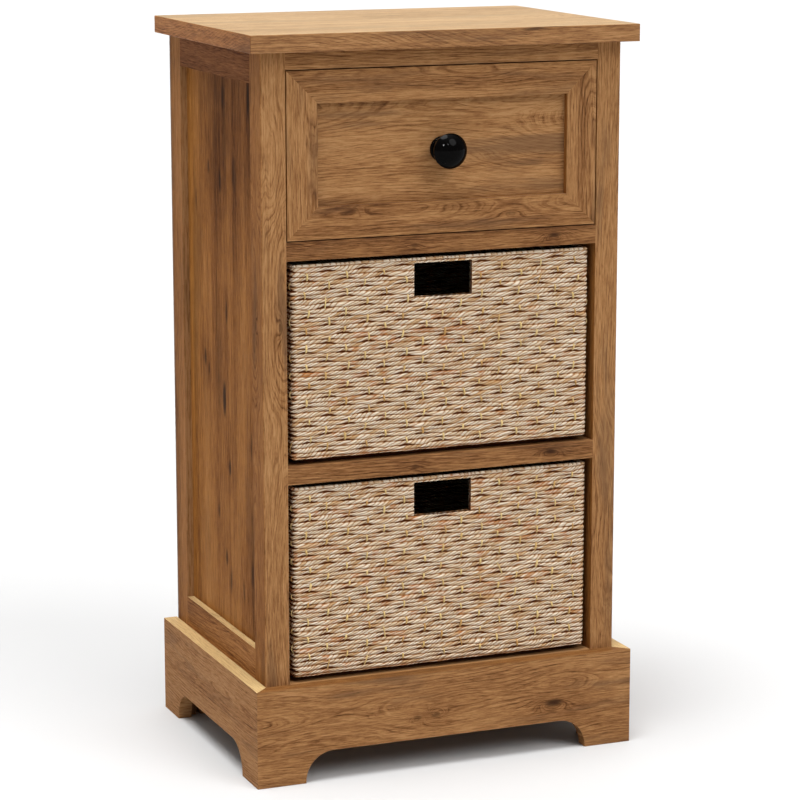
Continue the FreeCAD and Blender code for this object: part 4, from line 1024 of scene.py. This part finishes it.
def add_sky():
    """Soft light from all round, brightest overhead, with a pale glow low behind."""
    sky = Surface(bpy.data.worlds.new("sky"))
    x, y, z = sky.coordinates("Generated")
    upward = z.math("MAXIMUM", 0.0)
    behind = (x * 0.38 + y * 0.91 + z * 0.19).math("MAXIMUM", 0.0)
    strength = upward ** 8.0 * 2.2 + behind ** 10.0 * 0.9 + 0.28
    light = sky.node("ShaderNodeBackground", None, {"Color": (1, 1, 1, 1), "Strength": strength})
    sky.node("ShaderNodeOutputWorld", None, {"Surface": light})
    bpy.context.scene.world = sky.holder


def add_lamp(name, kind, spot, power, **settings):
    """A lamp that shines on the middle of the cabinet."""
    light = bpy.data.lights.new(name, kind)
    light.energy = power
    for key, value in settings.items():
        setattr(light, key, value)
    lamp = bpy.data.objects.new(name, light)
    lamp.location = spot
    aim = (CASE_LOW + CASE_HIGH) / 2
    lamp.rotation_euler = (aim - Vector(spot)).to_track_quat("-Z", "Y").to_euler()
    bpy.context.scene.collection.objects.link(lamp)
    return lamp


def add_lights():
    """A wide soft key from the front right, a soft lamp overhead, and two small ones that only
    glossy surfaces show."""
    add_lamp("key", "SUN", (1.3, -2.6, 3.0), 1.45, angle=math.radians(34))
    add_lamp("overhead", "SUN", (-0.6, -0.4, 3.4), 2.8, angle=math.radians(30))
    for name, spot, power in (("glint", (-1.5, -2.2, 2.1), 44.0),
                              ("spark", (-0.3, -2.6, 2.4), 16.0)):
        add_lamp(name, "AREA", spot, power, size=0.16).visible_diffuse = False


def add_camera():
    """The camera, at the front left and above, tilted down."""
    stage = bpy.context.scene.cabinet_stage
    camera = bpy.data.cameras.new("camera")
    camera.lens, camera.sensor_width = stage.lens, 36.0
    view = bpy.data.objects.new("camera", camera)
    view.location = stage.place
    view.rotation_euler = Euler((math.pi / 2 - stage.tilt, 0, -stage.heading))
    bpy.context.scene.collection.objects.link(view)
    bpy.context.scene.camera = view


class CABINET_PT_panel(bpy.types.Panel):
    """The cabinet's steps and settings"""

    bl_label = "Storage Cabinet"
    bl_idname = "CABINET_PT_panel"
    bl_space_type = "VIEW_3D"
    bl_region_type = "UI"
    bl_category = "Cabinet"

    def draw(self, context):
        for operator in OPERATORS:
            self.layout.operator(operator.bl_idname)
        for group in GROUPS:
            settings = getattr(context.scene, group)
            for name in settings.__annotations__:
                self.layout.prop(settings, name)


OPERATORS = (CABINET_OT_case, CABINET_OT_drawer, CABINET_OT_knob, CABINET_OT_runners,
             CABINET_OT_fasteners, CABINET_OT_baskets, CABINET_OT_stage)
GROUPS = {"cabinet_oak": OakSettings, "cabinet_basket": BasketSettings,
          "cabinet_stage": StageSettings}


def register():
    """Adds the classes and hangs the settings on the scene."""
    for name, group in GROUPS.items():
        bpy.utils.register_class(group)
        setattr(bpy.types.Scene, name, PointerProperty(type=group))
    for item in (*OPERATORS, CABINET_PT_panel):
        bpy.utils.register_class(item)


def unregister():
    """Takes the classes and settings away again."""
    for item in (CABINET_PT_panel, *reversed(OPERATORS)):
        bpy.utils.unregister_class(item)
    for name, group in GROUPS.items():
        delattr(bpy.types.Scene, name)
        bpy.utils.unregister_class(group)


def main():
    """Registers the add-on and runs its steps."""
    register()
    for operator in OPERATORS:
        group, step = operator.bl_idname.split(".")
        getattr(getattr(bpy.ops, group), step)()


if __name__ == "__main__":
    main()
